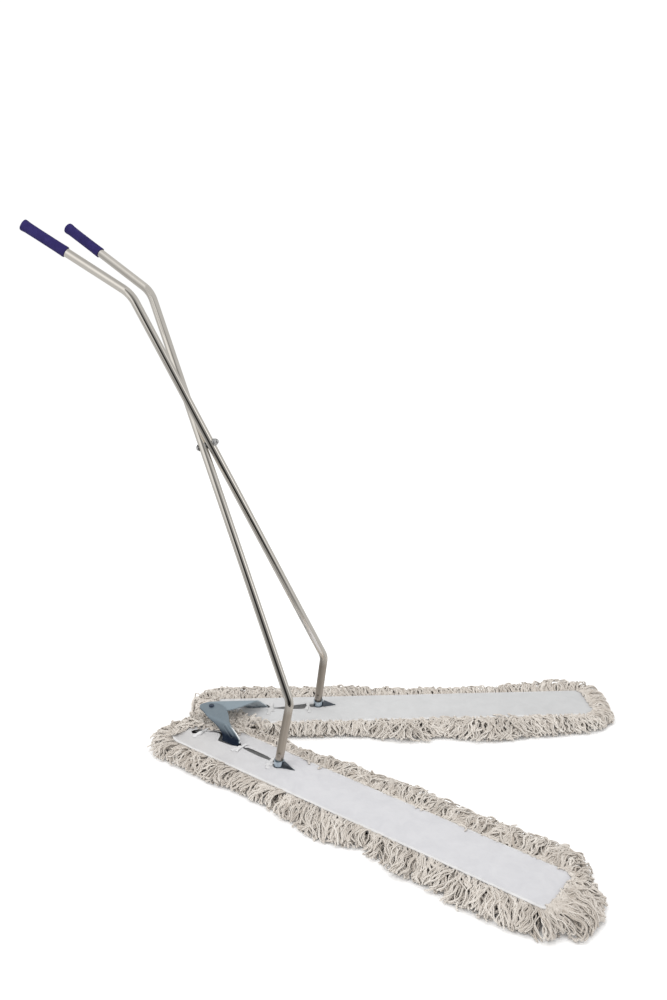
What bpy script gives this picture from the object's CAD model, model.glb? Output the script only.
import math

import bmesh
import bpy
import numpy as np
from mathutils import Matrix, Vector
from mathutils.geometry import delaunay_2d_cdt


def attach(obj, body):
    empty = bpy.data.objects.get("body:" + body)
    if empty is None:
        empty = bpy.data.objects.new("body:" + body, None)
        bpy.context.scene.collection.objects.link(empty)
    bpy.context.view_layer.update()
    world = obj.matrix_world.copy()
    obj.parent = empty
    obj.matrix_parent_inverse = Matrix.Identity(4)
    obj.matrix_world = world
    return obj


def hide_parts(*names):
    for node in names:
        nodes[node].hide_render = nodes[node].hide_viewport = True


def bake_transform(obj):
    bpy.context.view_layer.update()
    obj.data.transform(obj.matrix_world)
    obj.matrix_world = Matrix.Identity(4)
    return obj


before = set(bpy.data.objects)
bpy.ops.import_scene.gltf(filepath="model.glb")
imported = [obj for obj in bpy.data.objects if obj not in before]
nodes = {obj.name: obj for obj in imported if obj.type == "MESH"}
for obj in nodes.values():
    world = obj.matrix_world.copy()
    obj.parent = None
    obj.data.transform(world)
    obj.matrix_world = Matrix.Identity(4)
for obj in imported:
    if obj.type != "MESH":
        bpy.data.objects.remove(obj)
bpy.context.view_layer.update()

scene = bpy.context.scene
scene.view_settings.view_transform = "Standard"
scene.view_settings.look = "None"

# ------------------------------------------------------------------ dimensions, mm
APEX_X = -311.86                      # hinge axis of the V
CS, SN = math.cos(math.radians(20.0)), math.sin(math.radians(20.0))
MID = 55.3                            # mop centre line in its own frame
S0, S1 = -52.0, 997.0                 # canvas from end to end
EDGE_Z, RIDGE_Z, FAR_Z, SOLE_Z = 26.6, 36.3, 30.5, 14.9
SOCKET_S = 275.5
SLIP = {1: (0.64, 1.75), -1: (0.0, 0.0)}
BISECTOR = SN / CS                    # the V's middle at rest, n = -BISECTOR * s
SIDES = {"left": 1, "right": -1}
TIE_S = (25.0, 151.5, 247.0)
PATHS = {
    "left": ((-0.074781, 0.148974, 0.050981), (-0.050158, 0.12529, 0.191603),
             (-0.429414, -0.0761, 1.112365), (-0.658560, -0.11928, 1.258819)),
    "right": ((-0.074293, -0.148974, 0.050902), (-0.053826, -0.12529, 0.192190),
              (-0.460065, 0.0761, 1.101369), (-0.693429, 0.11928, 1.241004)),
}


def place(s, n, z, side):
    """Mop frame (s along, n outwards, z up, mm) to the model frame in metres."""
    s, n, z = np.broadcast_arrays(np.asarray(s, float), np.asarray(n, float), np.asarray(z, float))
    return np.stack([APEX_X + s * CS - n * SN, side * (s * SN + n * CS), z], -1) * 0.001


# ------------------------------------------------------------------ small tools
def smooth_noise(x, y, seed):
    """Smooth value noise between -1 and 1."""
    grid = np.random.default_rng(seed).random((64, 64)) * 2 - 1
    xi, yi = np.floor(x).astype(int), np.floor(y).astype(int)
    fx, fy = x - xi, y - yi
    fx, fy = fx * fx * (3 - 2 * fx), fy * fy * (3 - 2 * fy)
    a, b = grid[xi % 64, yi % 64], grid[(xi + 1) % 64, yi % 64]
    c, d = grid[xi % 64, (yi + 1) % 64], grid[(xi + 1) % 64, (yi + 1) % 64]
    return (a * (1 - fx) + b * fx) * (1 - fy) + (c * (1 - fx) + d * fx) * fy


def step01(x):
    x = np.clip(x, 0.0, 1.0)
    return x * x * (3 - 2 * x)


def rounded(points, radii, step):
    """Closed outline with rounded corners, sampled at an even step."""
    pts = [np.array(p, float) for p in points]
    out = []
    for i, p in enumerate(pts):
        a, b = pts[i - 1] - p, pts[(i + 1) % len(pts)] - p
        a, b = a / np.linalg.norm(a), b / np.linalg.norm(b)
        half = math.acos(float(np.clip(a @ b, -1, 1))) / 2
        r = radii[i]
        start, end = p + a * r / math.tan(half), p + b * r / math.tan(half)
        mid = p + (a + b) / np.linalg.norm(a + b) * r / math.sin(half)
        a0 = math.atan2(*(start - mid)[::-1])
        turn = (math.atan2(*(end - mid)[::-1]) - a0 + math.pi) % (2 * math.pi) - math.pi
        k = max(2, int(abs(turn) * r / 1.5))
        out += [mid + r * np.array([math.cos(a0 + turn * j / k), math.sin(a0 + turn * j / k)])
                for j in range(k + 1)]
    return resample(np.array(out), step)


def resample(line, step, closed=True):
    line = np.vstack([line, line[:1]]) if closed else line
    seg = np.linalg.norm(np.diff(line, axis=0), axis=1)
    keep = np.concatenate([[True], seg > 1e-9])
    line = line[keep]
    t = np.concatenate([[0], np.cumsum(np.linalg.norm(np.diff(line, axis=0), axis=1))])
    k = max(4, int(round(t[-1] / step)))
    q = np.linspace(0, t[-1], k + 1)[: k if closed else k + 1]
    return np.stack([np.interp(q, t, line[:, j]) for j in range(line.shape[1])], -1)


def smooth_path(points, count):
    """Catmull-Rom curve through the points, evenly resampled."""
    p = np.array(points, float)
    p = np.vstack([2 * p[0] - p[1], p, 2 * p[-1] - p[-2]])
    out = []
    for i in range(1, len(p) - 2):
        for u in np.linspace(0, 1, 12, endpoint=False):
            a, b, c, d = p[i - 1:i + 3]
            out.append(0.5 * (2 * b + (c - a) * u + (2 * a - 5 * b + 4 * c - d) * u ** 2
                              + (3 * b - a - 3 * c + d) * u ** 3))
    out.append(p[-2])
    out = np.array(out)
    t = np.concatenate([[0], np.cumsum(np.linalg.norm(np.diff(out, axis=0), axis=1))])
    q = np.linspace(0, t[-1], count)
    return np.stack([np.interp(q, t, out[:, j]) for j in range(out.shape[1])], -1)


def quad_mesh(name, verts, quads, uvs=None, floats=None, smooth=True):
    """Object from quads; uvs are given per corner, floats per vertex."""
    mesh = bpy.data.meshes.new(name)
    n_q = len(quads)
    mesh.vertices.add(len(verts))
    mesh.vertices.foreach_set("co", np.ascontiguousarray(verts, np.float32).ravel())
    mesh.loops.add(n_q * 4)
    mesh.loops.foreach_set("vertex_index", np.ascontiguousarray(quads, np.int32).ravel())
    mesh.polygons.add(n_q)
    mesh.polygons.foreach_set("loop_start", np.arange(0, n_q * 4, 4, dtype=np.int32))
    mesh.polygons.foreach_set("use_smooth", np.full(n_q, smooth))
    for key, value in (uvs or {}).items():
        layer = mesh.uv_layers.new(name=key)
        layer.data.foreach_set("uv", np.ascontiguousarray(value, np.float32).ravel())
    for key, value in (floats or {}).items():
        layer = mesh.attributes.new(key, "FLOAT", "POINT")
        layer.data.foreach_set("value", np.ascontiguousarray(value, np.float32).ravel())
    mesh.update(calc_edges=True)
    mesh.validate()
    obj = bpy.data.objects.new(name, mesh)
    scene.collection.objects.link(obj)
    return obj


def finish_piece(obj, material, body, slot, *replaced):
    obj.data.materials.clear()
    obj.data.materials.append(material)
    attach(obj, body)
    if replaced:
        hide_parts(*replaced)
    return obj


# ------------------------------------------------------------------ camera
YAW, PITCH = math.radians(17.17), math.radians(17.67)
CAM_AT = Vector((0.65553, -2.07789, 1.34815))
cam_data = bpy.data.cameras.new("view")
cam_data.sensor_width, cam_data.lens = 36.0, 36.0
cam_data.clip_end = 200.0
cam = bpy.data.objects.new("view", cam_data)
scene.collection.objects.link(cam)
ahead = Vector((-math.sin(YAW) * math.cos(PITCH), math.cos(YAW) * math.cos(PITCH), -math.sin(PITCH)))
across = ahead.cross(Vector((0, 0, 1))).normalized()
upward = across.cross(ahead)
turn = Matrix((across, upward, -ahead)).transposed().to_4x4()
cam.matrix_world = Matrix.Translation(CAM_AT) @ turn
scene.camera = cam


# ------------------------------------------------------------------ stage and light
def shader(name):
    mat = bpy.data.materials.new(name)
    mat.use_nodes = True
    tree = mat.node_tree
    tree.nodes.clear()
    out = tree.nodes.new("ShaderNodeOutputMaterial")
    bsdf = tree.nodes.new("ShaderNodeBsdfPrincipled")
    tree.links.new(bsdf.outputs["BSDF"], out.inputs["Surface"])
    return mat, tree, bsdf


def add(tree, kind, values=None, **settings):
    node = tree.nodes.new(kind)
    for key, value in settings.items():
        setattr(node, key, value)
    for key, value in (values or {}).items():
        if isinstance(value, bpy.types.NodeSocket):
            tree.links.new(value, node.inputs[key])
        else:
            node.inputs[key].default_value = value
    return node


def noise(tree, vector, scale, detail=3.0, rough=0.55, distortion=0.0):
    return add(tree, "ShaderNodeTexNoise", {"Vector": vector, "Scale": scale, "Detail": detail,
                                            "Roughness": rough, "Distortion": distortion}).outputs["Fac"]


def ramp(tree, value, stops):
    node = add(tree, "ShaderNodeValToRGB", {"Fac": value})
    line = node.color_ramp
    while len(line.elements) < len(stops):
        line.elements.new(0.5)
    for element, (pos, colour) in zip(line.elements, stops):
        element.position = pos
        element.color = (*colour, 1.0) if len(colour) == 3 else colour
    return node.outputs["Color"]


def span(tree, value, lo, hi, a, b):
    return add(tree, "ShaderNodeMapRange", {"Value": value, "From Min": lo, "From Max": hi,
                                            "To Min": a, "To Max": b}).outputs["Result"]


def calc(tree, op, a, b=0.0):
    node = add(tree, "ShaderNodeMath", operation=op)
    for i, value in enumerate((a, b)):
        if isinstance(value, bpy.types.NodeSocket):
            tree.links.new(value, node.inputs[i])
        else:
            node.inputs[i].default_value = value
    return node.outputs[0]


def blend_colour(tree, fac, a, b, mode="MIX"):
    node = add(tree, "ShaderNodeMix", data_type="RGBA", blend_type=mode)
    for i, value in ((0, fac), (6, a), (7, b)):
        if isinstance(value, bpy.types.NodeSocket):
            tree.links.new(value, node.inputs[i])
        elif i == 0:
            node.inputs[i].default_value = value
        else:
            node.inputs[i].default_value = (*value, 1.0)
    return node.outputs[2]


def bump(tree, height, strength, distance, normal=None):
    values = {"Height": height, "Strength": strength, "Distance": distance}
    if normal is not None:
        values["Normal"] = normal
    return add(tree, "ShaderNodeBump", values).outputs["Normal"]


def mapped(tree, vector, scale=(1, 1, 1), rotation=(0, 0, 0), location=(0, 0, 0)):
    return add(tree, "ShaderNodeMapping", {"Vector": vector, "Scale": scale, "Rotation": rotation,
                                           "Location": location}).outputs["Vector"]


floor_mat, ft, fb = shader("floor_paint")
floor_xyz = add(ft, "ShaderNodeTexCoord").outputs["Object"]
fb.inputs["Roughness"].default_value = 0.95
fb.inputs["Specular IOR Level"].default_value = 0.0
ft.links.new(ramp(ft, noise(ft, floor_xyz, 1.2, 2.0), ((0.3, (0.945, 0.945, 0.943)), (0.7, (0.955, 0.955, 0.955)))),
             fb.inputs["Base Color"])
disc = bmesh.new()
bmesh.ops.create_circle(disc, cap_ends=True, radius=60.0, segments=96)
floor_mesh = bpy.data.meshes.new("studio_floor")
disc.to_mesh(floor_mesh)
disc.free()
floor = bpy.data.objects.new("studio_floor", floor_mesh)
floor.data.materials.append(floor_mat)
scene.collection.objects.link(floor)

floor.visible_glossy = False

# white all round for the soft light; polished metal mirrors a grey room instead
world = bpy.data.worlds.new("studio")
scene.world = world
world.use_nodes = True
room = world.node_tree
room_tone = room.nodes["Background"]
room_tone.inputs["Strength"].default_value = 1.07
mirrored = add(room, "ShaderNodeLightPath").outputs["Is Glossy Ray"]
room.links.new(blend_colour(room, mirrored, (1.0, 1.0, 1.0), (0.49, 0.483, 0.468)), room_tone.inputs["Color"])


def soft_box(name, at, to, size, energy, colour=(1.0, 1.0, 1.0)):
    light = bpy.data.lights.new(name, "AREA")
    light.shape = "RECTANGLE"
    light.size, light.size_y = size
    light.energy = energy
    light.color = colour
    obj = bpy.data.objects.new(name, light)
    obj.location = at
    obj.rotation_mode = "QUATERNION"
    obj.rotation_quaternion = (Vector(to) - Vector(at)).to_track_quat("-Z", "Y")
    obj.visible_glossy = False
    scene.collection.objects.link(obj)
    return obj


soft_box("key_light", (-1.6, -2.0, 3.4), (0.1, 0.0, 0.2), (2.4, 2.0), 34.0, (1.0, 0.99, 0.97))
soft_box("top_light", (0.3, 0.6, 4.2), (0.1, 0.0, 0.0), (3.0, 3.0), 26.0)


def card_paint(name):
    mat, tree, bsdf = shader(name)
    tone = add(tree, "ShaderNodeAttribute", attribute_name="tone").outputs["Color"]
    tree.links.new(tone, bsdf.inputs["Emission Color"])
    bsdf.inputs["Emission Strength"].default_value = 1.0
    bsdf.inputs["Base Color"].default_value = (0.0, 0.0, 0.0, 1.0)
    bsdf.inputs["Roughness"].default_value = 1.0
    bsdf.inputs["Specular IOR Level"].default_value = 0.0
    return mat


mat_card = card_paint("studio_card")


def tube_cards(name, p0, p1, tune, distance, rows):
    """Bent reflector beside a polished tube: only the metal sees it, as a dark and a bright streak along the tube.

    tune: place along the run -> (level left, level right, dark streak's turn, width and depth, bright streak's level and turn)."""
    p0, p1 = Vector(p0), Vector(p1)
    along = (p1 - p0).normalized()
    places = sorted(tune)
    table = np.array([tune[k] for k in places])
    turns = np.linspace(-86.0, 86.0, 44)
    verts, tones, faces = [], [], []
    for i in range(rows):
        part = i / (rows - 1)
        lo, hi, dark_at, dark_w, depth, glow, glow_at = (float(np.interp(part, places, table[:, k])) for k in range(7))
        at = p0.lerp(p1, part)
        view = (CAM_AT - at).normalized()
        face = (view - along * view.dot(along)).normalized()
        right = along.cross(face).normalized()
        if right.dot(across) < 0:
            right = -right
        for angle in turns:
            a = math.radians(angle)
            normal = face * math.cos(a) + right * math.sin(a)
            seen = (normal * (2 * view.dot(normal)) - view).normalized()
            verts.append(at + normal * 0.010 + seen * distance)
            level = lo + (hi - lo) * float(step01((angle + 50.0) / 100.0))
            level *= 1.0 - depth * math.exp(-((angle - dark_at) / dark_w) ** 2)
            tones.append(max(0.0, level + glow * math.exp(-((angle - glow_at) / 14.0) ** 2)))
    k = len(turns)
    for i in range(rows - 1):
        for j in range(k - 1):
            faces.append((i * k + j, i * k + j + 1, (i + 1) * k + j + 1, (i + 1) * k + j))
    mesh = bpy.data.meshes.new(name)
    mesh.from_pydata(verts, [], faces)
    layer = mesh.attributes.new("tone", "FLOAT_COLOR", "POINT")
    layer.data.foreach_set("color", np.array([(t, t * 0.985, t * 0.955, 1.0) for t in tones], np.float32).ravel())
    mesh.materials.append(mat_card)
    obj = bpy.data.objects.new(name, mesh)
    scene.collection.objects.link(obj)
    obj.visible_camera = False
    obj.visible_diffuse = False
    obj.visible_shadow = False
    obj.visible_transmission = False
    obj.visible_volume_scatter = False
    return obj


def studio_panel(name, corner, wide, tall, tone):
    """Upright panel that only polished metal sees; tone(x, y) takes places on the panel in metres."""
    count_x, count_y = 64, 64
    corner, wide, tall = Vector(corner), Vector(wide), Vector(tall)
    verts, tones, faces = [], [], []
    for i in range(count_y):
        for j in range(count_x):
            a, b = j / (count_x - 1), i / (count_y - 1)
            p = corner + wide * a + tall * b
            verts.append(p)
            tones.append(float(tone(p)))
    for i in range(count_y - 1):
        for j in range(count_x - 1):
            k = i * count_x + j
            faces.append((k, k + 1, k + count_x + 1, k + count_x))
    mesh = bpy.data.meshes.new(name)
    mesh.from_pydata(verts, [], faces)
    layer = mesh.attributes.new("tone", "FLOAT_COLOR", "POINT")
    layer.data.foreach_set("color", np.array([(v, v * 0.985, v * 0.955, 1.0) for v in tones], np.float32).ravel())
    mesh.materials.append(mat_card)
    obj = bpy.data.objects.new(name, mesh)
    scene.collection.objects.link(obj)
    obj.visible_camera = False
    obj.visible_diffuse = False
    obj.visible_shadow = False
    obj.visible_transmission = False
    obj.visible_volume_scatter = False
    return obj


def curve(x, *knots):
    return float(np.interp(x, *zip(*knots)))


def front_tone(p):
    """Black flag before the tubes, paler to its left and higher up."""
    dark = curve(p.z, (-0.45, 0.36), (-0.30, 0.33), (-0.16, 0.20), (-0.04, 0.05), (0.1, 0.012), (0.95, 0.015), (1.2, 0.16), (1.8, 0.22), (2.3, 0.45))
    left = curve(p.z, (-0.75, 0.22), (-0.1, 0.26), (0.22, 0.24), (0.4, 0.42), (0.62, 0.78), (1.3, 0.88), (2.3, 0.70))
    left_edge = curve(p.z, (0.0, -0.15), (0.2, -0.10), (0.6, -0.15), (0.8, -0.12), (1.0, -0.02), (1.8, 0.10))
    right_edge = curve(p.z, (0.0, 1.00), (0.2, 0.80), (0.34, 0.22), (0.5, 0.08), (0.9, 0.06), (1.2, 0.05), (1.8, 0.15))
    if p.x < left_edge:
        return dark + (left - dark) * float(step01((left_edge - p.x) / 0.45))
    return dark + (0.34 - min(dark, 0.34)) * float(step01((p.x - right_edge) / 1.1))


def strip_tone(p):
    """Tall soft box at the right, its front flank in shade."""
    flank = curve(p.z, (-0.2, 0.38), (0.1, 0.32), (0.25, 0.15), (0.6, 0.20), (1.0, 0.30), (1.4, 0.40), (2.1, 0.50))
    level = 0.52 + (flank - 0.52) * float(step01((-0.12 - p.y) / 0.34))
    return level + 0.98 * math.exp(-((p.z - 0.86) / 0.42) ** 2) * math.exp(-((p.y + 0.07) / 0.15) ** 2)


studio_panel("flag_front", (-1.6, -1.0, -0.9), (3.1, 0.0, 0.0), (0.0, 0.0, 3.2), front_tone)
studio_panel("strip_right", (0.85, -0.75, -0.4), (0.0, 1.25, 0.0), (0.0, 0.0, 2.5), strip_tone)

RIGHT_TOP = {0.0: (.50, .56, -28, 14, .22, .26, 12), 1.0: (.46, .56, -28, 14, .25, .26, 12)}
LEFT_TOP = {0.0: (.56, .50, 40, 16, .10, .46, 2), 1.0: (.54, .50, 40, 16, .10, .42, 4)}
RIGHT_FOOT = {0.0: (.50, .70, -60, 20, .2, .0, 28), 1.0: (.46, .70, -60, 20, .2, .0, 28)}
LEFT_FOOT = {0.0: (.50, .62, 0, 26, .25, .0, 28), 1.0: (.34, .62, -26, 20, .25, .0, 28)}


def run_end(path, run, f):
    return tuple(Vector(path[run]).lerp(Vector(path[run + 1]), f))


for card_side, top_run, foot_run in (("right", RIGHT_TOP, RIGHT_FOOT), ("left", LEFT_TOP, LEFT_FOOT)):
    tube = PATHS[card_side]
    tube_cards("card_top_" + card_side, run_end(tube, 2, 0.02), tube[3], top_run, 0.08, 8)
    tube_cards("card_foot_" + card_side, run_end(tube, 0, 0.15), run_end(tube, 0, 0.98), foot_run, 0.035, 6)

# ------------------------------------------------------------------ finishes


def zinc(name, dark, light, rough, grain, bump_mm=0.02):
    """Plated steel: soft cloudy tone with faint rolled streaks."""
    mat, t, b = shader(name)
    xyz = add(t, "ShaderNodeTexCoord").outputs["Object"]
    cloud = noise(t, xyz, 48.0, 3.0, 0.5)
    streak = noise(t, mapped(t, xyz, (grain, grain * 0.12, grain), (0.0, 0.0, 0.35)), 1.0, 3.0, 0.6)
    tone = calc(t, "ADD", calc(t, "MULTIPLY", cloud, 0.6), calc(t, "MULTIPLY", streak, 0.4))
    t.links.new(ramp(t, tone, ((0.33, dark), (0.67, light))), b.inputs["Base Color"])
    b.inputs["Metallic"].default_value = 1.0
    t.links.new(span(t, tone, 0.3, 0.7, rough[0], rough[1]), b.inputs["Roughness"])
    fine = noise(t, mapped(t, xyz, (grain * 3, grain * 0.5, grain * 3), (0.0, 0.0, 0.35)), 1.0, 2.0)
    t.links.new(bump(t, fine, 0.2, bump_mm * 0.001), b.inputs["Normal"])
    return mat


mat_bar = zinc("zinc_bar", (0.235, 0.238, 0.245), (0.36, 0.362, 0.37), (0.60, 0.50), 300.0)
mat_plate = zinc("zinc_plate_dark", (0.095, 0.112, 0.135), (0.185, 0.208, 0.240), (0.44, 0.32), 260.0)
mat_bright = zinc("zinc_bright", (0.36, 0.45, 0.54), (0.70, 0.78, 0.84), (0.30, 0.18), 220.0)
mat_fast = zinc("plated_fastener", (0.58, 0.59, 0.61), (0.86, 0.87, 0.88), (0.38, 0.24), 400.0)
mat_navy = zinc("blued_fastener", (0.080, 0.105, 0.155), (0.170, 0.210, 0.275), (0.34, 0.22), 400.0)
mat_rivet = zinc("rivet_steel", (0.32, 0.29, 0.265), (0.64, 0.60, 0.56), (0.42, 0.28), 500.0)
mat_bolt = zinc("plated_bolt", (0.74, 0.76, 0.79), (0.95, 0.96, 0.97), (0.34, 0.22), 400.0)
mat_cut = zinc("sheared_edge", (0.62, 0.65, 0.68), (0.86, 0.88, 0.90), (0.36, 0.24), 500.0)


def arm_finish(name, top, low, metal):
    """Blue zinc sheet; the tone falls off where the sheet turns down, polished along the stiffening rib."""
    mat, t, b = shader(name)
    xyz = add(t, "ShaderNodeTexCoord").outputs["Object"]
    shade = add(t, "ShaderNodeAttribute", attribute_name="shade").outputs["Fac"]
    cloud = noise(t, xyz, 38.0, 3.0, 0.5)
    fine = noise(t, mapped(t, xyz, (240.0, 60.0, 240.0), (0.0, 0.0, 0.5)), 1.0, 3.0, 0.6)
    mix = calc(t, "ADD", calc(t, "MULTIPLY", cloud, 0.10), calc(t, "MULTIPLY", fine, 0.05))
    value = calc(t, "SUBTRACT", calc(t, "ADD", shade, mix), 0.075)
    t.links.new(ramp(t, value, ((0.0, low), (0.5, top), (1.0, (0.96, 0.98, 0.99)))), b.inputs["Base Color"])
    # sheared edges are bare and scatter the light
    t.links.new(span(t, shade, 0.86, 0.96, metal, 0.15), b.inputs["Metallic"])
    t.links.new(span(t, fine, 0.3, 0.7, 0.46, 0.36), b.inputs["Roughness"])
    t.links.new(bump(t, fine, 0.12, 0.00002), b.inputs["Normal"])
    return mat


mat_arm = {"right": arm_finish("zinc_sheet_right", (0.41, 0.505, 0.585), (0.024, 0.036, 0.066), 1.0),
           "left": arm_finish("zinc_sheet_left", (0.285, 0.350, 0.395), (0.095, 0.130, 0.160), 0.25)}


def tube_finish(name):
    """Warm polished nickel with fine draw lines along the tube, satin at the foot."""
    mat, t, b = shader(name)
    uv = add(t, "ShaderNodeUVMap", uv_map="length").outputs["UV"]
    xyz = add(t, "ShaderNodeTexCoord").outputs["Object"]
    height = add(t, "ShaderNodeSeparateXYZ", {"Vector": xyz}).outputs["Z"]
    lines = noise(t, mapped(t, uv, (420.0, 3.0, 1.0)), 1.0, 2.0, 0.6)
    bands = noise(t, mapped(t, uv, (36.0, 1.2, 1.0)), 1.0, 2.0, 0.5)
    smear = noise(t, xyz, 30.0, 3.0, 0.6)
    satin = span(t, height, 0.165, 0.205, 1.0, 0.0)
    tone = ramp(t, calc(t, "ADD", calc(t, "MULTIPLY", smear, 0.6), calc(t, "MULTIPLY", bands, 0.4)),
                ((0.35, (0.86, 0.825, 0.775)), (0.65, (0.93, 0.90, 0.855))))
    foot = ramp(t, bands, ((0.3, (0.42, 0.37, 0.32)), (0.7, (0.54, 0.485, 0.43))))
    t.links.new(blend_colour(t, satin, tone, foot), b.inputs["Base Color"])
    b.inputs["Metallic"].default_value = 1.0
    rough = calc(t, "ADD", span(t, smear, 0.3, 0.7, 0.065, 0.105), calc(t, "MULTIPLY", satin, 0.20))
    t.links.new(rough, b.inputs["Roughness"])
    t.links.new(bump(t, lines, 0.08, 0.00003), b.inputs["Normal"])
    return mat


mat_tube = tube_finish("nickel_tube")


def grip_finish():
    mat, t, b = shader("grip_rubber")
    xyz = add(t, "ShaderNodeTexCoord").outputs["Object"]
    worn = noise(t, xyz, 45.0, 4.0, 0.6)
    t.links.new(ramp(t, worn, ((0.3, (0.012, 0.008, 0.072)), (0.55, (0.017, 0.011, 0.095)), (0.75, (0.025, 0.018, 0.120)))),
                b.inputs["Base Color"])
    t.links.new(span(t, worn, 0.3, 0.7, 0.72, 0.58), b.inputs["Roughness"])
    b.inputs["Specular IOR Level"].default_value = 0.22
    pebble = add(t, "ShaderNodeTexVoronoi", {"Vector": xyz, "Scale": 950.0}).outputs["Distance"]
    t.links.new(bump(t, pebble, 0.35, 0.00025), b.inputs["Normal"])
    return mat


mat_grip = grip_finish()


def weave_finish(name, low, high, pitch, rough, sheen, soiled=None):
    """Plain weave from the cloth's own coordinates, with soft stains."""
    mat, t, b = shader(name)
    uv = add(t, "ShaderNodeUVMap", uv_map="cloth").outputs["UV"]
    xyz = add(t, "ShaderNodeTexCoord").outputs["Object"]
    stain = noise(t, mapped(t, xyz, (1.0, 1.0, 1.0)), 26.0, 4.0, 0.62, 0.6)
    slub = noise(t, mapped(t, uv, (60.0, 900.0, 1.0)), 1.0, 2.0)
    tone = calc(t, "ADD", calc(t, "MULTIPLY", stain, 0.7), calc(t, "MULTIPLY", slub, 0.3))
    colour = ramp(t, tone, ((0.34, low), (0.60, high)))
    if soiled is not None:
        # greyer towards one end of the cloth
        from_x, to_x, tint = soiled
        place_x = add(t, "ShaderNodeSeparateXYZ", {"Vector": xyz}).outputs["X"]
        dirt = span(t, calc(t, "ADD", place_x, calc(t, "MULTIPLY", stain, 0.1)), from_x, to_x, 1.0, 0.0)
        colour = blend_colour(t, 1.0, colour, blend_colour(t, dirt, (1.0, 1.0, 1.0), tint), "MULTIPLY")
    t.links.new(colour, b.inputs["Base Color"])
    warp = add(t, "ShaderNodeTexWave", {"Vector": uv, "Scale": 1.0 / (pitch * 0.001) / 6.2832 * 3.1416,
                                        "Distortion": 0.6, "Detail": 1.0, "Detail Scale": 3.0},
               wave_type="BANDS", bands_direction="X").outputs["Fac"]
    weft = add(t, "ShaderNodeTexWave", {"Vector": uv, "Scale": 1.0 / (pitch * 0.001) / 6.2832 * 3.1416,
                                        "Distortion": 0.6, "Detail": 1.0, "Detail Scale": 3.0},
               wave_type="BANDS", bands_direction="Y").outputs["Fac"]
    cross = calc(t, "MAXIMUM", warp, weft)
    fibre = bump(t, noise(t, xyz, 5200.0, 2.0), 0.15, 0.0002)
    t.links.new(bump(t, cross, 0.35, 0.00022, fibre), b.inputs["Normal"])
    t.links.new(span(t, slub, 0.3, 0.7, rough[0], rough[1]), b.inputs["Roughness"])
    b.inputs["Sheen Weight"].default_value = sheen
    b.inputs["Sheen Roughness"].default_value = 0.6
    b.inputs["Specular IOR Level"].default_value = 0.2
    return mat


mat_canvas = {"right": weave_finish("cotton_canvas_right", (0.526, 0.525, 0.546), (0.575, 0.573, 0.590), 0.9, (0.95, 0.86), 0.05, (-0.36, 0.02, (0.90, 0.885, 0.845))),
              "left": weave_finish("cotton_canvas_left", (0.505, 0.507, 0.510), (0.550, 0.552, 0.555), 0.9, (0.95, 0.86), 0.05, (0.52, 0.16, (0.93, 0.93, 0.93)))}
mat_tape = {"right": weave_finish("cotton_tape_right", (0.575, 0.572, 0.58), (0.65, 0.647, 0.65), 1.1, (0.95, 0.86), 0.05),
            "left": weave_finish("cotton_tape_left", (0.51, 0.51, 0.51), (0.575, 0.573, 0.57), 1.1, (0.95, 0.86), 0.05)}
mat_thread = weave_finish("sewing_thread", (0.62, 0.62, 0.62), (0.72, 0.72, 0.72), 0.5, (0.85, 0.70), 0.2)
mat_hem = weave_finish("hem_binding", (0.60, 0.597, 0.60), (0.675, 0.672, 0.67), 0.8, (0.95, 0.86), 0.08)


def yarn_finish(name, dark, light):
    """Soft cotton yarn: plies wind round each strand, strands differ in tone."""
    mat, t, b = shader(name)
    uv = add(t, "ShaderNodeUVMap", uv_map="strand").outputs["UV"]
    xyz = add(t, "ShaderNodeTexCoord").outputs["Object"]
    tint = add(t, "ShaderNodeAttribute", attribute_name="tint").outputs["Fac"]
    fleck = noise(t, xyz, 420.0, 3.0, 0.6)
    tone = calc(t, "ADD", calc(t, "MULTIPLY", tint, 0.75), calc(t, "MULTIPLY", fleck, 0.25))
    t.links.new(ramp(t, tone, ((0.12, dark), (0.85, light))), b.inputs["Base Color"])
    part = add(t, "ShaderNodeSeparateXYZ", {"Vector": uv})
    phase = calc(t, "ADD", calc(t, "MULTIPLY", part.outputs["X"], 3.0), calc(t, "MULTIPLY", part.outputs["Y"], 2.2))
    ply = calc(t, "SINE", calc(t, "MULTIPLY", phase, 6.28318))
    fuzz = bump(t, noise(t, xyz, 2400.0, 2.0), 0.3, 0.0004)
    t.links.new(bump(t, ply, 0.5, 0.0006, fuzz), b.inputs["Normal"])
    t.links.new(span(t, fleck, 0.3, 0.7, 0.98, 0.88), b.inputs["Roughness"])
    b.inputs["Sheen Weight"].default_value = 0.22
    b.inputs["Sheen Roughness"].default_value = 0.5
    b.inputs["Specular IOR Level"].default_value = 0.12
    return mat


mat_yarn = yarn_finish("cotton_yarn", (0.47, 0.415, 0.36), (0.80, 0.755, 0.700))
mat_core = yarn_finish("cotton_yarn_base", (0.19, 0.16, 0.13), (0.30, 0.26, 0.215))

CAD_FINISH = {
    "hinge_arm": mat_arm["left"], "spine_bar": mat_bar, "wire_loop": mat_bar, "cross_strap": mat_bar,
    "socket_plate": mat_plate, "swivel_shoe": mat_bright, "arm_rivets": mat_fast, "swivel_nut": mat_fast,
    "cross_pin": mat_rivet, "grip": mat_grip, "apex_bolt": mat_navy, "apex_washers": mat_navy, "scissor_bolt": mat_bolt, "scissor_nut": mat_bolt,
}
for node_name, obj in nodes.items():
    finish = mat_fast
    for ending, mat in CAD_FINISH.items():
        if node_name.endswith(ending):
            finish = mat
    if node_name.endswith("handle_tube"):
        finish = mat_tube
    if not obj.data.materials:
        obj.data.materials.append(finish)
    for i in range(len(obj.data.materials)):
        obj.data.materials[i] = finish

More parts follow.
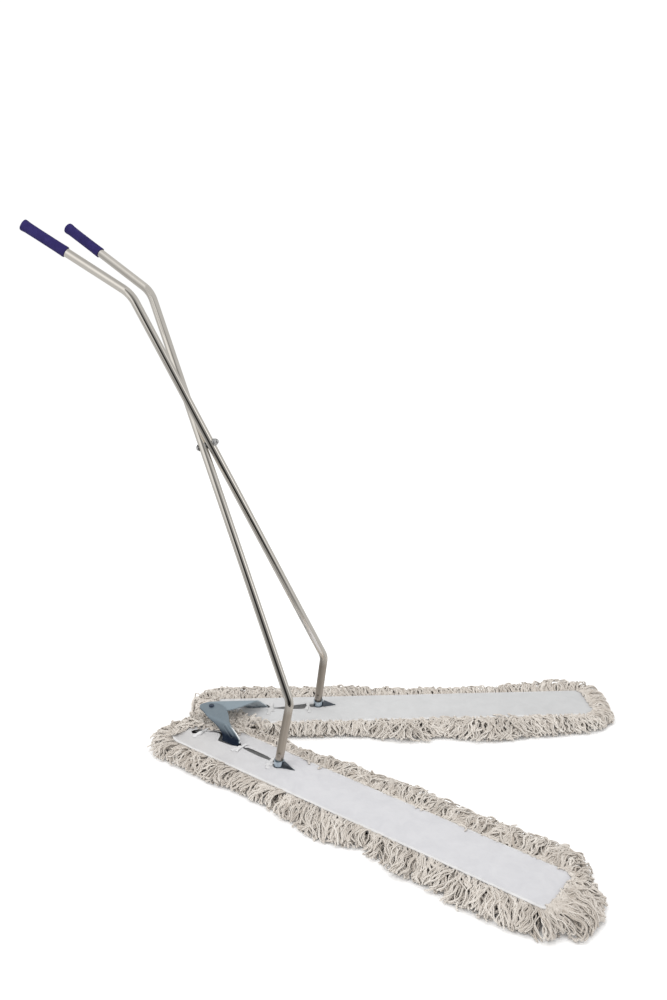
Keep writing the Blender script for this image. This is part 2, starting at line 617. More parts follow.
# ------------------------------------------------------------------ canvas covers
OUTLINE = rounded(((55.0, -9.7), (S1, -9.7), (S1, 120.3), (S0, 120.3), (S0, 34.6), (0.0, 1.6)),
                  (60.0, 22.0, 22.0, 52.0, 16.0, 14.0), 2.0)


def outline_frame(line):
    ahead_t = np.roll(line, -1, 0) - np.roll(line, 1, 0)
    ahead_t /= np.linalg.norm(ahead_t, axis=1)[:, None]
    return ahead_t, np.stack([ahead_t[:, 1], -ahead_t[:, 0]], -1)


OUT_T, OUT_N = outline_frame(OUTLINE)


def edge_distance(s, n):
    """Distance to the canvas outline."""
    flat = np.stack([np.ravel(s), np.ravel(n)], -1)
    best = np.full(len(flat), 1e9)
    a, b = OUTLINE, np.roll(OUTLINE, -1, 0)
    for start in range(0, len(a), 64):
        p, q = a[start:start + 64], b[start:start + 64]
        d = q - p
        u = np.clip(np.einsum("ijk,jk->ij", flat[:, None] - p[None], d) / (d * d).sum(1), 0, 1)
        best = np.minimum(best, np.linalg.norm(flat[:, None] - (p[None] + u[..., None] * d[None]), axis=2).min(1))
    return best.reshape(np.shape(s))


# the slit's lips along the mop: place, inner lip, outer lip (from the centre line, outwards positive)
LIPS = {
    -1: ((-52, 18, 18), (-2, 18, 18), (0, 17, 19), (4, 10, 22.5), (8, 2, 24), (13, -2, 22), (18, -2.2, 17), (22, -1.4, 7), (26, -0.8, 0.8),
         (33, -3.2, -2.0), (43, -9, -6), (52, -14.5, -11), (62, -18.5, -14.5), (70, -19.5, -12), (76, -19, -3), (80, -18.5, 6),
         (85, -17.5, 13), (96, -16.5, 12.2), (106, -16, 11.5), (126, -15, 10), (139, -11, 5.5), (146, -6, 3.5), (151.5, -2.5, 2),
         (157, -4, 1.6), (165, -8, 2.2), (180, -10, 3.2), (205, -9.5, 4.6), (228, -9.5, 3.6), (238, -7, 3), (247, -4.5, 2.4),
         (253, -7, 3.2), (258, -10, 3.8), (290, -10, 3.8), (302, -4, 2.6), (321, 0, 0), (997, 0, 0)),
    1: ((-52, 0, 0), (-40, 0, 0), (-38, -2.5, 2.5), (-33, -6, 6), (-20, -6.5, 6.5), (-12, -4, 4), (0, -2, 2), (20, -1.4, 1.4), (30, -1.4, 1.4),
        (45, -3, 3), (54, -6, 6), (66, -8.2, 9), (72, -8.6, 10), (128, -8.6, 10), (140, -8.8, 9), (146, -9, 3), (151, -9, -4),
        (156, -10.2, -5), (165, -10.2, -3.2), (180, -12.4, 0), (200, -13.6, 4), (230, -13.8, 10.6), (239, -12.6, 12.2), (244, -9, 12.2),
        (248, -6.4, 8), (253, -6.4, 8), (258, -6.6, 9), (290, -6.6, 9), (302, -4, 4), (321, 0, 0), (997, 0, 0)),
}


def slit(s, side):
    """Where the slit's lips lie: towards the inner edge and towards the outer edge, from the centre line."""
    s = np.asarray(s, float)
    ds, dn = SLIP[side]
    x = s - SOCKET_S - ds
    nose = np.where((x > 0) & (x < 44.0), 1.6 + (44.0 - x) * 0.225, 0.0)
    plate = nose * step01((44.0 - x) / 2.5)
    boss = np.sqrt(np.clip(14.8 ** 2 - (x + 1.6) ** 2, 0, None))
    at, inner, outer = np.array(LIPS[side], float).T
    h_in, h_out = -np.interp(s, at, inner), np.interp(s, at, outer)
    if side < 0:
        h_in = np.where(plate > 0, np.maximum(h_in, plate - dn), h_in)
        h_out = np.where(boss > 0, np.maximum(h_out, boss + 3.1 + dn), h_out)
    else:
        h_in = np.where(boss > 0, np.maximum(h_in, boss - 3.1 - dn), h_in)
        h_out = np.where(plate > 0, np.maximum(h_out, plate + dn), h_out)
    return h_in, h_out


def crown(s, n):
    """Arched section of the stuffed cover: highest over the spine, flatter beyond it."""
    a = np.abs(n - MID)
    ridge = RIDGE_Z - (RIDGE_Z - FAR_Z) * step01((s - 332) / 138)
    ends = step01((s - S0) / 15) * (0.3 + 0.7 * step01((S1 - s) / 60))
    slope = 0.45 * step01((a - 8) / 57) + 0.55 * np.clip((a - 15) / 50, 0, 1)
    return EDGE_Z + (ridge - EDGE_Z) * (1 - slope) * ends


def canvas_height(s, n, side, lip=None, edge=None):
    """Top of the stretched canvas with its sag, puckers and rolled edge."""
    s, n = np.asarray(s, float), np.asarray(n, float)
    edge = edge_distance(s, n) if edge is None else edge
    seed = 11 if side > 0 else 23
    free = step01((edge - 4) / 16)
    z = crown(s, n)
    z = z + free * 0.65 * smooth_noise(s / 62.0 + 7, n / 34.0 + 3, seed)
    z = z + free * 0.35 * smooth_noise(s / 23.0 + n / 40.0, n / 17.0 - s / 60.0, seed + 1)
    ridge = 1 - np.abs(smooth_noise(s / 75.0 - n / 55.0 + 11, n / 70.0 + s / 210.0, seed + 2))
    z = z + free * 0.5 * ridge ** 6
    for k, tie in enumerate(TIE_S):
        ds, dn = s - tie, np.abs(n - MID)
        pull = np.exp(-np.hypot(ds, dn - 16) / 24.0)
        z = z + 0.9 * free * pull * np.cos(np.arctan2(ds, dn - 6) * 5.0 + k * 1.3)
    a = np.abs(n - MID)
    over_bar = (s > -37) & (s < 319)
    z = np.where(over_bar, np.maximum(z, 35.75 - 12.0 * step01((a - 12.5) / 7.0)), z)
    hem = 0.45 * step01((7.2 - edge) / 1.2) - 0.4 * np.exp(-((edge - 7.6) / 0.9) ** 2)
    roll = 5.0
    d = np.clip(edge, 0, roll)
    return z + hem - (roll - np.sqrt(np.clip(roll ** 2 - (roll - d) ** 2, 0, None)))


def lip_lift(s, n, side):
    """The free edges of the slit stand up a little; near the arm's foot the inner one curls."""
    h_in, h_out = slit(s, side)
    near_in = np.clip(MID - h_in - n, 0, None)
    near_out = np.clip(n - MID - h_out, 0, None)
    wide = step01((h_in + h_out) / 6.0)
    near_foot = step01((s - 145) / 12.0)
    rise = 0.7 * (1 - near_foot) - 0.35 * near_foot
    curl = 2.6 * np.exp(-((s - 60) / 17.0) ** 2) if side < 0 else 1.9 * step01((s - 62) / 12.0) * step01((150 - s) / 12.0)
    inner = np.where(n <= MID - h_in + 1e-6, np.exp(-(near_in / 4.5) ** 2), 0.0)
    outer = np.where(n >= MID + h_out - 1e-6, np.exp(-(near_out / 4.5) ** 2), 0.0)
    return wide * rise * np.maximum(inner, outer) + curl * step01((h_in + h_out) / 2.0) * inner


def make_cover(label, side):
    cols = np.unique(np.round(np.concatenate([
        S0 + np.array([0, 0.5, 1.5, 3.2, 5.6, 9]), np.arange(S0 + 11, -30, 2.0), np.arange(-30, 250, 2.5),
        np.arange(250, 324, 1.5), np.arange(324, S1 - 12, 3.6), S1 - np.array([11, 8, 5.6, 3.2, 1.5, 0.5, 0])]), 3))
    lower = OUTLINE[OUT_N[:, 1] < -0.02]
    upper = OUTLINE[OUT_N[:, 1] > 0.02]
    lower, upper = lower[np.argsort(lower[:, 0])], upper[np.argsort(upper[:, 0])]
    lo, hi = np.interp(cols, lower[:, 0], lower[:, 1]), np.interp(cols, upper[:, 0], upper[:, 1])
    h_in, h_out = slit(cols, side)
    v = np.array([0, .008, .02, .04, .065, .10, .15, .22, .30, .39, .48, .57, .66, .74, .81, .87, .92, .955, .98, 1.0])
    rows = len(v)
    low = lo[:, None] + (MID - h_in - lo)[:, None] * v
    high = (MID + h_out)[:, None] + (hi - MID - h_out)[:, None] * (1 - v[::-1])[None]
    n = np.concatenate([low, high], 1)
    s = np.repeat(cols[:, None], 2 * rows, 1)
    edge = edge_distance(s, n)
    z = canvas_height(s, n, side, None, edge) + lip_lift(s, n, side)
    wave = smooth_noise(s / 31.0, n / 90.0, 41) * np.clip(1 - edge / 10.0, 0, 1)
    n = n + np.sign(n - MID) * wave * 0.9
    c_n, r_n = n.shape
    # under side of the sleeve
    whole = lo[:, None] + (hi - lo)[:, None] * np.concatenate([v * 0.5, 0.5 + (1 - v[::-1]) * 0.5])[None]
    nb = whole + np.sign(whole - MID) * smooth_noise(s / 31.0, whole / 90.0, 41) * 0.5
    zb = np.full_like(nb, SOLE_Z)

    def index(c, r):
        return c * r_n + r

    grid_c, grid_r = np.meshgrid(np.arange(c_n - 1), np.arange(r_n - 1), indexing="ij")
    use = grid_r != rows - 1
    gc, gr = grid_c[use], grid_r[use]
    top_q = np.stack([index(gc, gr), index(gc + 1, gr), index(gc + 1, gr + 1), index(gc, gr + 1)], -1)
    base = c_n * r_n
    bot_q = base + np.stack([index(gc, gr + 1), index(gc + 1, gr + 1), index(gc + 1, gr), index(gc, gr)], -1)
    ring = np.array([index(c, 0) for c in range(c_n)] + [index(c_n - 1, r) for r in range(1, r_n)]
                    + [index(c, r_n - 1) for c in range(c_n - 2, -1, -1)] + [index(0, r) for r in range(r_n - 2, 0, -1)])
    sf, nf, zf = s.ravel(), n.ravel(), z.ravel()
    line = np.stack([sf[ring], nf[ring]], -1)
    tang = np.roll(line, -1, 0) - np.roll(line, 1, 0)
    tang /= np.maximum(np.linalg.norm(tang, axis=1), 1e-6)[:, None]
    outw = np.stack([tang[:, 1], -tang[:, 0]], -1)
    levels = 3
    vs, vn, vz = [sf, s.ravel()], [nf, nb.ravel()], [zf, zb.ravel()]
    prev = ring
    wall_q = []
    start = 2 * base
    for k in range(1, levels + 1):
        f = k / (levels + 1)
        vs.append(line[:, 0] + outw[:, 0] * 1.2 * math.sin(math.pi * f))
        vn.append(line[:, 1] + outw[:, 1] * 1.2 * math.sin(math.pi * f))
        vz.append(zf[ring] * (1 - f) + SOLE_Z * f)
        cur = start + np.arange(len(ring))
        wall_q.append(np.stack([prev, cur, np.roll(cur, -1), np.roll(prev, -1)], -1))
        prev, start = cur, start + len(ring)
    wall_q.append(np.stack([prev, base + ring, np.roll(base + ring, -1), np.roll(prev, -1)], -1))
    vs, vn, vz = np.concatenate(vs), np.concatenate(vn), np.concatenate(vz)
    quads = np.concatenate([top_q, bot_q] + wall_q)
    if side < 0:
        quads = quads[:, ::-1]
    uv = np.stack([vs, vn + (RIDGE_Z - vz)], -1) * 0.001
    # room at the hinge for both ends of the V's travel
    short = np.maximum(0.8 + np.where(vs > 0, 0.15 * vs, -0.225 * vs) - (vn + BISECTOR * vs) * CS, 0.0) * (vs < 60)
    vs, vn = vs + short * SN, vn + short * CS
    obj = quad_mesh(label + "_canvas_sleeve", place(vs, vn, vz, side), quads, {"cloth": uv[quads]})
    weld = bmesh.new()
    weld.from_mesh(obj.data)
    bmesh.ops.remove_doubles(weld, verts=weld.verts, dist=2e-6)
    bmesh.ops.dissolve_degenerate(weld, dist=1e-6, edges=weld.edges)
    bmesh.ops.recalc_face_normals(weld, faces=weld.faces)
    weld.to_mesh(obj.data)
    weld.free()
    thick = obj.modifiers.new("thickness", "SOLIDIFY")
    thick.thickness, thick.offset = 0.0011, -1.0
    finish_piece(obj, mat_canvas[label], label + "_frame", "canvas", label + "_canvas_cover")
    return obj


# ------------------------------------------------------------------ swept strands and tapes
def sweep(paths, radius, sides, lobe=0.0, twist=0.0):
    """Tubes along many paths of equal length: (m, n, 3) in mm. Returns vertices, quads and corner uvs."""
    m, n, _ = paths.shape
    tang = np.gradient(paths, axis=1)
    tang /= np.maximum(np.linalg.norm(tang, axis=2, keepdims=True), 1e-9)
    ref = np.where(np.abs(tang[:, :1, 2:]) < 0.9, np.array([0.0, 0, 1]), np.array([1.0, 0, 0]))[:, 0]
    a = np.zeros_like(paths)
    cur = ref
    for k in range(n):
        t = tang[:, k]
        cur = cur - (cur * t).sum(1, keepdims=True) * t
        cur = cur / np.maximum(np.linalg.norm(cur, axis=1, keepdims=True), 1e-9)
        a[:, k] = cur
    b = np.cross(tang, a)
    length = np.concatenate([np.zeros((m, 1)), np.cumsum(np.linalg.norm(np.diff(paths, axis=1), axis=2), 1)], 1)
    phi = 2 * np.pi * np.arange(sides) / sides
    phi = phi[None, None] + twist * length[..., None]
    r = np.broadcast_to(np.asarray(radius, float), (m, n))[..., None] * (1 + lobe * (-1.0) ** np.arange(sides))
    verts = paths[:, :, None] + r[..., None] * (np.cos(phi)[..., None] * a[:, :, None] + np.sin(phi)[..., None] * b[:, :, None])
    j = np.arange(sides)
    k = np.arange(n - 1)
    base = (np.arange(m) * n * sides)[:, None, None]
    ring0 = base + (k * sides)[None, :, None]
    q = np.stack([ring0 + j, ring0 + (j + 1) % sides, ring0 + sides + (j + 1) % sides, ring0 + sides + j], -1)
    u0, u1 = j / sides, (j + 1) / sides
    l0, l1 = length[:, :-1, None], length[:, 1:, None]
    shape = (m, n - 1, sides)
    uv = np.stack([np.stack(np.broadcast_arrays(u, l), -1) for u, l in (
        (np.broadcast_to(u0, shape), np.broadcast_to(l0, shape)), (np.broadcast_to(u1, shape), np.broadcast_to(l0, shape)),
        (np.broadcast_to(u1, shape), np.broadcast_to(l1, shape)), (np.broadcast_to(u0, shape), np.broadcast_to(l1, shape)))], -2)
    caps = []
    cap_first = base[:, 0, 0]
    cap_last = cap_first + (n - 1) * sides
    for i in range(1, sides - 2, 2):
        caps.append(np.stack([cap_first, cap_first + i + 2, cap_first + i + 1, cap_first + i], -1))
        caps.append(np.stack([cap_last, cap_last + i, cap_last + i + 1, cap_last + i + 2], -1))
    caps = np.concatenate(caps)
    cap_uv = np.zeros((len(caps), 4, 2))
    cells = int(math.ceil(math.sqrt(m / 5.0))) or 1
    across_c = int(math.ceil(m / cells))
    frac = length / np.maximum(length[:, -1:], 1e-9)
    f0, f1 = frac[:, :-1, None], frac[:, 1:, None]
    cx = (np.arange(m) % across_c)[:, None, None]
    cy = (np.arange(m) // across_c)[:, None, None]

    def cell(u, f):
        return np.stack([(cx + 0.06 + 0.88 * np.broadcast_to(u, shape)) / across_c,
                         (cy + 0.03 + 0.94 * np.broadcast_to(f, shape)) / cells], -1)

    bake = np.stack([cell(u0, f0), cell(u1, f0), cell(u1, f1), cell(u0, f1)], -2)
    first_cell = np.stack([(np.arange(m) % across_c + 0.03) / across_c, (np.arange(m) // across_c + 0.015) / cells], -1)
    cap_bake = np.repeat(np.tile(first_cell, (len(caps) // m, 1))[:, None], 4, 1)
    cap_bake = cap_bake + np.array([[0, 0], [0.02 / across_c, 0], [0.02 / across_c, 0.01 / cells], [0, 0.01 / cells]])
    quads = np.concatenate([q.reshape(-1, 4), caps])
    uv = np.concatenate([uv.reshape(-1, 4, 2), cap_uv])
    bake = np.concatenate([bake.reshape(-1, 4, 2), cap_bake])
    return verts.reshape(-1, 3), quads, uv, bake


def strand_object(name, paths, radius, side, tint, sides=6, lobe=0.10, twist=0.0):
    """paths are in the mop frame, mm."""
    v, q, uv, bake = sweep(paths, radius, sides, lobe, twist)
    if side < 0:
        q, uv, bake = q[:, ::-1], uv[:, ::-1], bake[:, ::-1]
    per = len(v) // len(paths)
    uv = uv * np.array([1.0, 0.1])
    tint = np.asarray(tint)
    tint = np.repeat(tint, per) if tint.ndim == 1 else np.repeat(tint.reshape(-1), sides)
    return quad_mesh(name, place(v[:, 0], v[:, 1], v[:, 2], side), q, {"strand": uv, "OFBake": bake}, {"tint": tint})


def ribbon(path, width, thick, up, twist=None):
    """Flat tape along a path (mm); returns vertices, quads, corner uvs."""
    k = len(path)
    tang = np.gradient(path, axis=0)
    tang /= np.linalg.norm(tang, axis=1)[:, None]
    up = np.broadcast_to(np.asarray(up, float), path.shape)
    wide = np.cross(up, tang)
    wide /= np.maximum(np.linalg.norm(wide, axis=1), 1e-9)[:, None]
    face = np.cross(tang, wide)
    if twist is not None:
        c, s = np.cos(twist)[:, None], np.sin(twist)[:, None]
        wide, face = wide * c + face * s, face * c - wide * s
    width = np.broadcast_to(np.asarray(width, float), (k,))
    prof = np.array([(-0.5, 0), (-0.46, 0.42), (-0.25, 0.5), (0.0, 0.46), (0.25, 0.5), (0.46, 0.42),
                     (0.5, 0), (0.46, -0.42), (0.25, -0.5), (0.0, -0.46), (-0.25, -0.5), (-0.46, -0.42)])
    m = len(prof)
    thick = np.broadcast_to(np.asarray(thick, float), (k,))
    v = path[:, None] + prof[None, :, :1] * width[:, None, None] * wide[:, None] + prof[None, :, 1:] * thick[:, None, None] * face[:, None]
    j, r = np.meshgrid(np.arange(m), np.arange(k - 1))
    q = np.stack([r * m + j, r * m + (j + 1) % m, (r + 1) * m + (j + 1) % m, (r + 1) * m + j], -1).reshape(-1, 4)
    lens = np.concatenate([[0], np.cumsum(np.linalg.norm(np.diff(path, axis=0), axis=1))]) * 0.001
    around = np.concatenate([[0], np.cumsum(np.linalg.norm(np.diff(np.vstack([prof * [9.0, 1.0], prof[:1] * [9.0, 1.0]]), axis=0), axis=1))]) * 0.001
    uv = np.stack([np.stack([lens[r], around[j]], -1), np.stack([lens[r], around[j + 1]], -1),
                   np.stack([lens[r + 1], around[j + 1]], -1), np.stack([lens[r + 1], around[j]], -1)], -2).reshape(-1, 4, 2)
    caps = []
    for i in range(1, m // 2):
        caps.append((i - 1 if i > 1 else 0, i, m - i, (m - i + 1) % m))
    caps = [(0, 1, m - 1, 0)] + [(i, i + 1, m - i - 1, m - i) for i in range(1, m // 2 - 1)] + [(m // 2 - 1, m // 2, m // 2 + 1, m // 2 - 1)]
    body = [c for c in caps if len(set(c)) == 4]
    first = np.array(body)
    last = first[:, ::-1] + (k - 1) * m
    q = np.concatenate([q, first[:, ::-1][:, ::-1], last])
    uv = np.concatenate([uv, np.zeros((2 * len(first), 4, 2))])
    return v.reshape(-1, 3), q, uv


def joined(parts):
    verts, quads, uvs, start = [], [], [], 0
    for v, q, uv in parts:
        verts.append(v)
        quads.append(q + start)
        uvs.append(uv)
        start += len(v)
    return np.concatenate(verts), np.concatenate(quads), np.concatenate(uvs)


def make_ties(label, side):
    """Three flat tapes tied across the slit, each with a soft knot and two loose ends."""
    rng = np.random.default_rng(71 if side > 0 else 72)
    parts = []

    def top(s, n, lift):
        at_s, at_n = np.array([s]), np.array([n])
        h = float(canvas_height(at_s, at_n, side)[0] + lip_lift(at_s, at_n, side)[0])
        return h + lift

    for k, tie in enumerate(TIE_S):
        knot = np.array([tie + rng.uniform(-1, 1), MID + rng.uniform(-2.0, 2.0)])
        for sign in (-1, 1):
            start = (tie + rng.uniform(-2.5, 2.5), MID + sign * rng.uniform(18.0, 22.0))
            pts = [(start[0], start[1], top(start[0], start[1], 0.55)),
                   (start[0] * 0.6 + knot[0] * 0.4, MID + sign * 13.0, top(tie, MID + sign * 13.0, 0.6)),
                   (start[0] * 0.25 + knot[0] * 0.75, MID + sign * 7.0, top(tie, MID + sign * 9.0, 0.9)),
                   (knot[0], knot[1], RIDGE_Z + 1.3)]
            path = smooth_path(pts, 22)
            f = np.linspace(0, 1, 22)
            parts.append(ribbon(path, 10.5 - 3.0 * step01((f - 0.5) / 0.5), 0.8 + 0.5 * step01((f - 0.6) / 0.4), (0, 0, 1),
                                0.22 * np.sin(f * 3.0) * sign))
        a = np.linspace(0, 2 * np.pi * 1.08, 26)
        tilt = rng.uniform(-0.5, 0.5)
        wrap = np.stack([knot[0] + 3.9 * np.cos(a), knot[1] + 1.2 * np.sin(a * 0.5) + tilt * 4.0 * np.cos(a),
                         RIDGE_Z + 1.0 + 1.1 * np.sin(a)], -1)
        out_dir = np.stack([np.cos(a), np.zeros_like(a), np.sin(a)], -1)
        parts.append(ribbon(wrap, 5.6, 1.0, out_dir))
        a2 = np.linspace(0.4, 2 * np.pi + 0.4, 26)
        wrap2 = np.stack([knot[0] + 0.8 + 2.4 * np.cos(a2), knot[1] + 3.2 * np.cos(a2), RIDGE_Z + 1.1 + 1.0 * np.sin(a2)], -1)
        out2 = np.stack([np.cos(a2) * 0.2, np.cos(a2), np.sin(a2)], -1)
        parts.append(ribbon(wrap2, 4.6, 0.9, out2))
        for angle, long in TIE_ENDS[side][k]:
            ang = math.radians(angle + rng.uniform(-6, 6))
            d = np.array([math.cos(ang), math.sin(ang)])
            side_d = np.array([-d[1], d[0]])
            bend = rng.uniform(-6, 6)
            pts = []
            for f, lift in ((0.0, 1.8), (0.20, 2.2), (0.45, 1.2), (0.75, 0.7), (1.0, 0.75)):
                p = knot + d * long * f + side_d * bend * f * f
                pts.append((p[0], p[1], top(p[0], p[1], lift)))
            path = smooth_path(pts, 26)
            f = np.linspace(0, 1, 26)
            parts.append(ribbon(path, 6.0 + 3.6 * step01(f / 0.4), 0.8, (0, 0, 1), 0.5 * np.sin(f * 4.0 + bend) * (1 - f)))
    v, q, uv = joined(parts)
    if side < 0:
        q, uv = q[:, ::-1], uv[:, ::-1]
    obj = quad_mesh(label + "_tape_ties", place(v[:, 0], v[:, 1], v[:, 2], side), q, {"cloth": uv})
    return finish_piece(obj, mat_tape[label], label + "_frame", "tape", label + "_canvas_ties")


# direction of each loose end in the mop's own frame (degrees) and its length, mm
TIE_ENDS = {-1: (((106, 36.0), (84, 26.0)), ((118, 26.0), (96, 20.0)), ((74, 32.0), (60, 22.0))),
            1: (((-110, 24.0), (-84, 22.0)), ((-96, 36.0), (-72, 22.0)), ((-84, 30.0), (-108, 22.0)))}


def make_stitches(label, side):
    """Running stitch round the hem and beside the slit."""
    line = resample(OUTLINE - OUT_N * 6.6, 4.3)
    tang, _ = outline_frame(line)
    h_s = np.arange(-34.0, 318.0, 4.3)
    h_in, h_out = slit(h_s, side)
    rows = [line]
    dirs = [tang]
    for sign, h in ((-1, h_in), (1, h_out)):
        pts = np.stack([h_s, MID + sign * (h + 5.2)], -1)
        d = np.gradient(pts, axis=0)
        rows.append(pts)
        dirs.append(d / np.linalg.norm(d, axis=1)[:, None])
    at, along = np.concatenate(rows), np.concatenate(dirs)
    offsets = np.array([-1.55, -1.15, 0.0, 1.15, 1.55])
    lift = np.array([-0.45, 0.12, 0.28, 0.12, -0.45])
    pts = at[:, None] + along[:, None] * offsets[None, :, None]
    z = canvas_height(at[:, 0], at[:, 1], side)[:, None] + lift[None]
    z = z + lip_lift(at[:, 0], at[:, 1], side)[:, None]
    v, q, uv, bake = sweep(np.concatenate([pts, z[..., None]], -1), 0.42, 6)
    if side < 0:
        q, uv, bake = q[:, ::-1], uv[:, ::-1], bake[:, ::-1]
    obj = quad_mesh(label + "_hem_stitches", place(v[:, 0], v[:, 1], v[:, 2], side), q, {"cloth": uv * 0.001, "OFBake": bake})
    return finish_piece(obj, mat_thread, label + "_frame", "canvas")


def make_hem(label, side):
    """Folded tape sewn over the edge of the cover."""
    line = resample(OUTLINE - OUT_N * 1.9, 3.0)
    _, out = outline_frame(line)
    wave = 0.35 * smooth_noise(line[:, 0] / 12.0, line[:, 1] / 12.0, 91)
    z = canvas_height(line[:, 0], line[:, 1], side) + 0.25 + wave
    path = np.concatenate([line, z[:, None]], 1)
    path, out = np.concatenate([path, path[:2]]), np.concatenate([out, out[:2]])
    up = np.concatenate([out * 0.42, np.full((len(out), 1), 0.9)], 1)
    v, q, uv = ribbon(path, 5.4 + 0.6 * smooth_noise(path[:, 0] / 9.0, path[:, 1] / 9.0, 92), 1.2, up)
    if side < 0:
        q, uv = q[:, ::-1], uv[:, ::-1]
    obj = quad_mesh(label + "_hem_tape", place(v[:, 0], v[:, 1], v[:, 2], side), q, {"cloth": uv})
    return finish_piece(obj, mat_hem, label + "_frame", "canvas")


# ------------------------------------------------------------------ yarn
# how far the fringe lies out from the canvas edge, mm, by place along the mop
OUT_REACH = {
    1: ((-60, 42), (-20, 64), (20, 82), (80, 88), (130, 78), (240, 83), (350, 78), (410, 80), (460, 68), (520, 67), (600, 64), (680, 59),
        (765, 60), (855, 78), (940, 83), (1000, 78)),
    -1: ((-60, 77), (0, 66), (50, 58), (164, 64), (244, 50), (344, 62), (448, 84), (518, 65), (569, 35), (600, 54), (682, 81), (744, 62),
         (825, 84), (888, 75), (947, 65), (1011, 76)),
}
IN_REACH = {
    1: ((0, 40), (300, 42), (351, 44), (426, 53), (499, 83), (540, 66), (579, 57), (652, 75), (725, 95), (770, 80), (807, 69), (885, 70), (966, 56)),
    -1: ((0, 40), (300, 52), (388, 69), (470, 79), (560, 77), (631, 86), (713, 74), (782, 87), (851, 93), (920, 93), (990, 80)),
}
OUT_LIFT = {1: ((-60, 6), (20, 8), (140, 7), (240, 2), (350, 4), (410, 4), (470, 0), (765, 0), (855, 5), (940, 6), (1000, 4)),
            -1: ((-60, 2), (1000, 2))}
IN_LIFT = {1: ((0, 3), (1000, 3)), -1: ((0, 4), (1000, 5))}
END_REACH = {1: (4.0, 58.0), -1: (49.0, 84.0)}
# share of the reach at the far corners, by the turn from straight ahead towards the side (degrees)
FAR_INNER = {1: ((0, 0.95), (37, 0.74), (76, 0.92), (90, 1.0)),
             -1: ((0, 0.96), (8, 0.70), (20, 0.46), (41, 0.42), (50, 0.50), (75, 0.70), (90, 0.98))}
FAR_OUTER = {1: ((0, 1.0), (27, 1.0), (60, 1.05), (90, 1.0)),
             -1: ((0, 1.05), (17, 1.05), (25, 0.84), (33, 0.58), (42, 0.66), (50, 0.76), (70, 0.95), (90, 1.0))}


def fringe_shape(p, nrm, side):
    """Reach and extra height of the fringe round the outline, and the room before the V's middle."""
    w = np.stack([np.clip(nrm[:, 1], 0, None), np.clip(-nrm[:, 1], 0, None),
                  np.clip(nrm[:, 0], 0, None), np.clip(-nrm[:, 0], 0, None)], -1) ** 2
    w /= w.sum(1, keepdims=True)
    col = [np.interp(p[:, 0], *zip(*t)) for t in (OUT_REACH[side], IN_REACH[side])]
    near, far = END_REACH[side]
    r = w[:, 0] * col[0] + w[:, 1] * col[1] + w[:, 2] * far + w[:, 3] * near
    turn_out = np.degrees(np.arctan2(nrm[:, 1], nrm[:, 0]))
    share = np.where(nrm[:, 1] > 0, np.interp(turn_out, *zip(*FAR_OUTER[side])), np.interp(-turn_out, *zip(*FAR_INNER[side])))
    r = r * np.where((nrm[:, 0] > 0.02) & (p[:, 0] > S1 - 60), share, 1.0)
    lift = w[:, 0] * np.interp(p[:, 0], *zip(*OUT_LIFT[side])) + w[:, 1] * np.interp(p[:, 0], *zip(*IN_LIFT[side])) + w[:, 2:].sum(1) * 3.0
    gap = p[:, 1] + BISECTOR * p[:, 0]
    fall = -(nrm[:, 1] + BISECTOR * nrm[:, 0])
    room = np.where(fall > 0.05, gap / np.maximum(fall, 0.05), 1e3)
    return np.minimum(r, room + 4.0), lift, room


# yarn between the two mops beside the hinge bends with both: from, to along the mop, and how far from the V's middle it starts (mm)
MEETING = ((-140, -58, 24.0), (-58, 20, 12.0), (20, 60, 11.0), (60, 110, 20.0), (110, 180, 34.0), (180, 275, 50.0))


def past_middle(s):
    """How far a loop may lie past the V's middle: least beside the hinge, where the other mop's hem is close."""
    return np.interp(s, (-60, -25, -4, 6, 55, 70, 85), (3.0, 1.5, 0.3, 0.3, 0.8, 3.0, 5.5))


# canvas that lies under spilled curls beside the apex, mop frame
MATS = {-1: ((-54, 36), (-54, 122), (-24, 122), (-24, 104), (-14, 76), (-3, 53), (17, 44), (37, 41), (58, 36), (80, 17), (96, 3), (112, -11), (0, -2)),
        1: ((-54, 36), (-54, 122), (4, 122), (3, 72), (18, 46), (41, 41), (60, 40), (78, 22), (96, 13), (117, -1), (146, -11), (0, -2))}


LOOP_N = 37
TAU = np.linspace(0, 1, LOOP_N)
REACH_F = np.sin(np.pi * TAU) ** 0.72
LEG = -np.cos(np.pi * TAU) * (0.5 + 0.5 * np.sin(np.pi * TAU) ** 2)


def loops_from_axis(axis_u, axis_y, axis_z, theta, width, roll, squeeze_y, twist=0.0):
    """Turns an axis per loop (m, k) into out-and-back loops (m, LOOP_N) of u, y, z."""
    m, k = axis_u.shape
    f = REACH_F * (k - 1)
    i = np.minimum(f.astype(int), k - 2)
    w = f - i

    def pick(a):
        return a[:, i] * (1 - w) + a[:, i + 1] * w

    u, y, z, th, sq = pick(axis_u), pick(axis_y), pick(axis_z), pick(theta), pick(squeeze_y)
    leg = 0.5 * width[:, None] * LEG[None]
    wind = roll[:, None] + np.atleast_1d(twist)[:, None] * REACH_F[None]
    flat, tall = leg * np.cos(wind), leg * np.sin(wind)
    return u - np.sin(th) * flat, y + np.cos(th) * flat + sq, z + tall


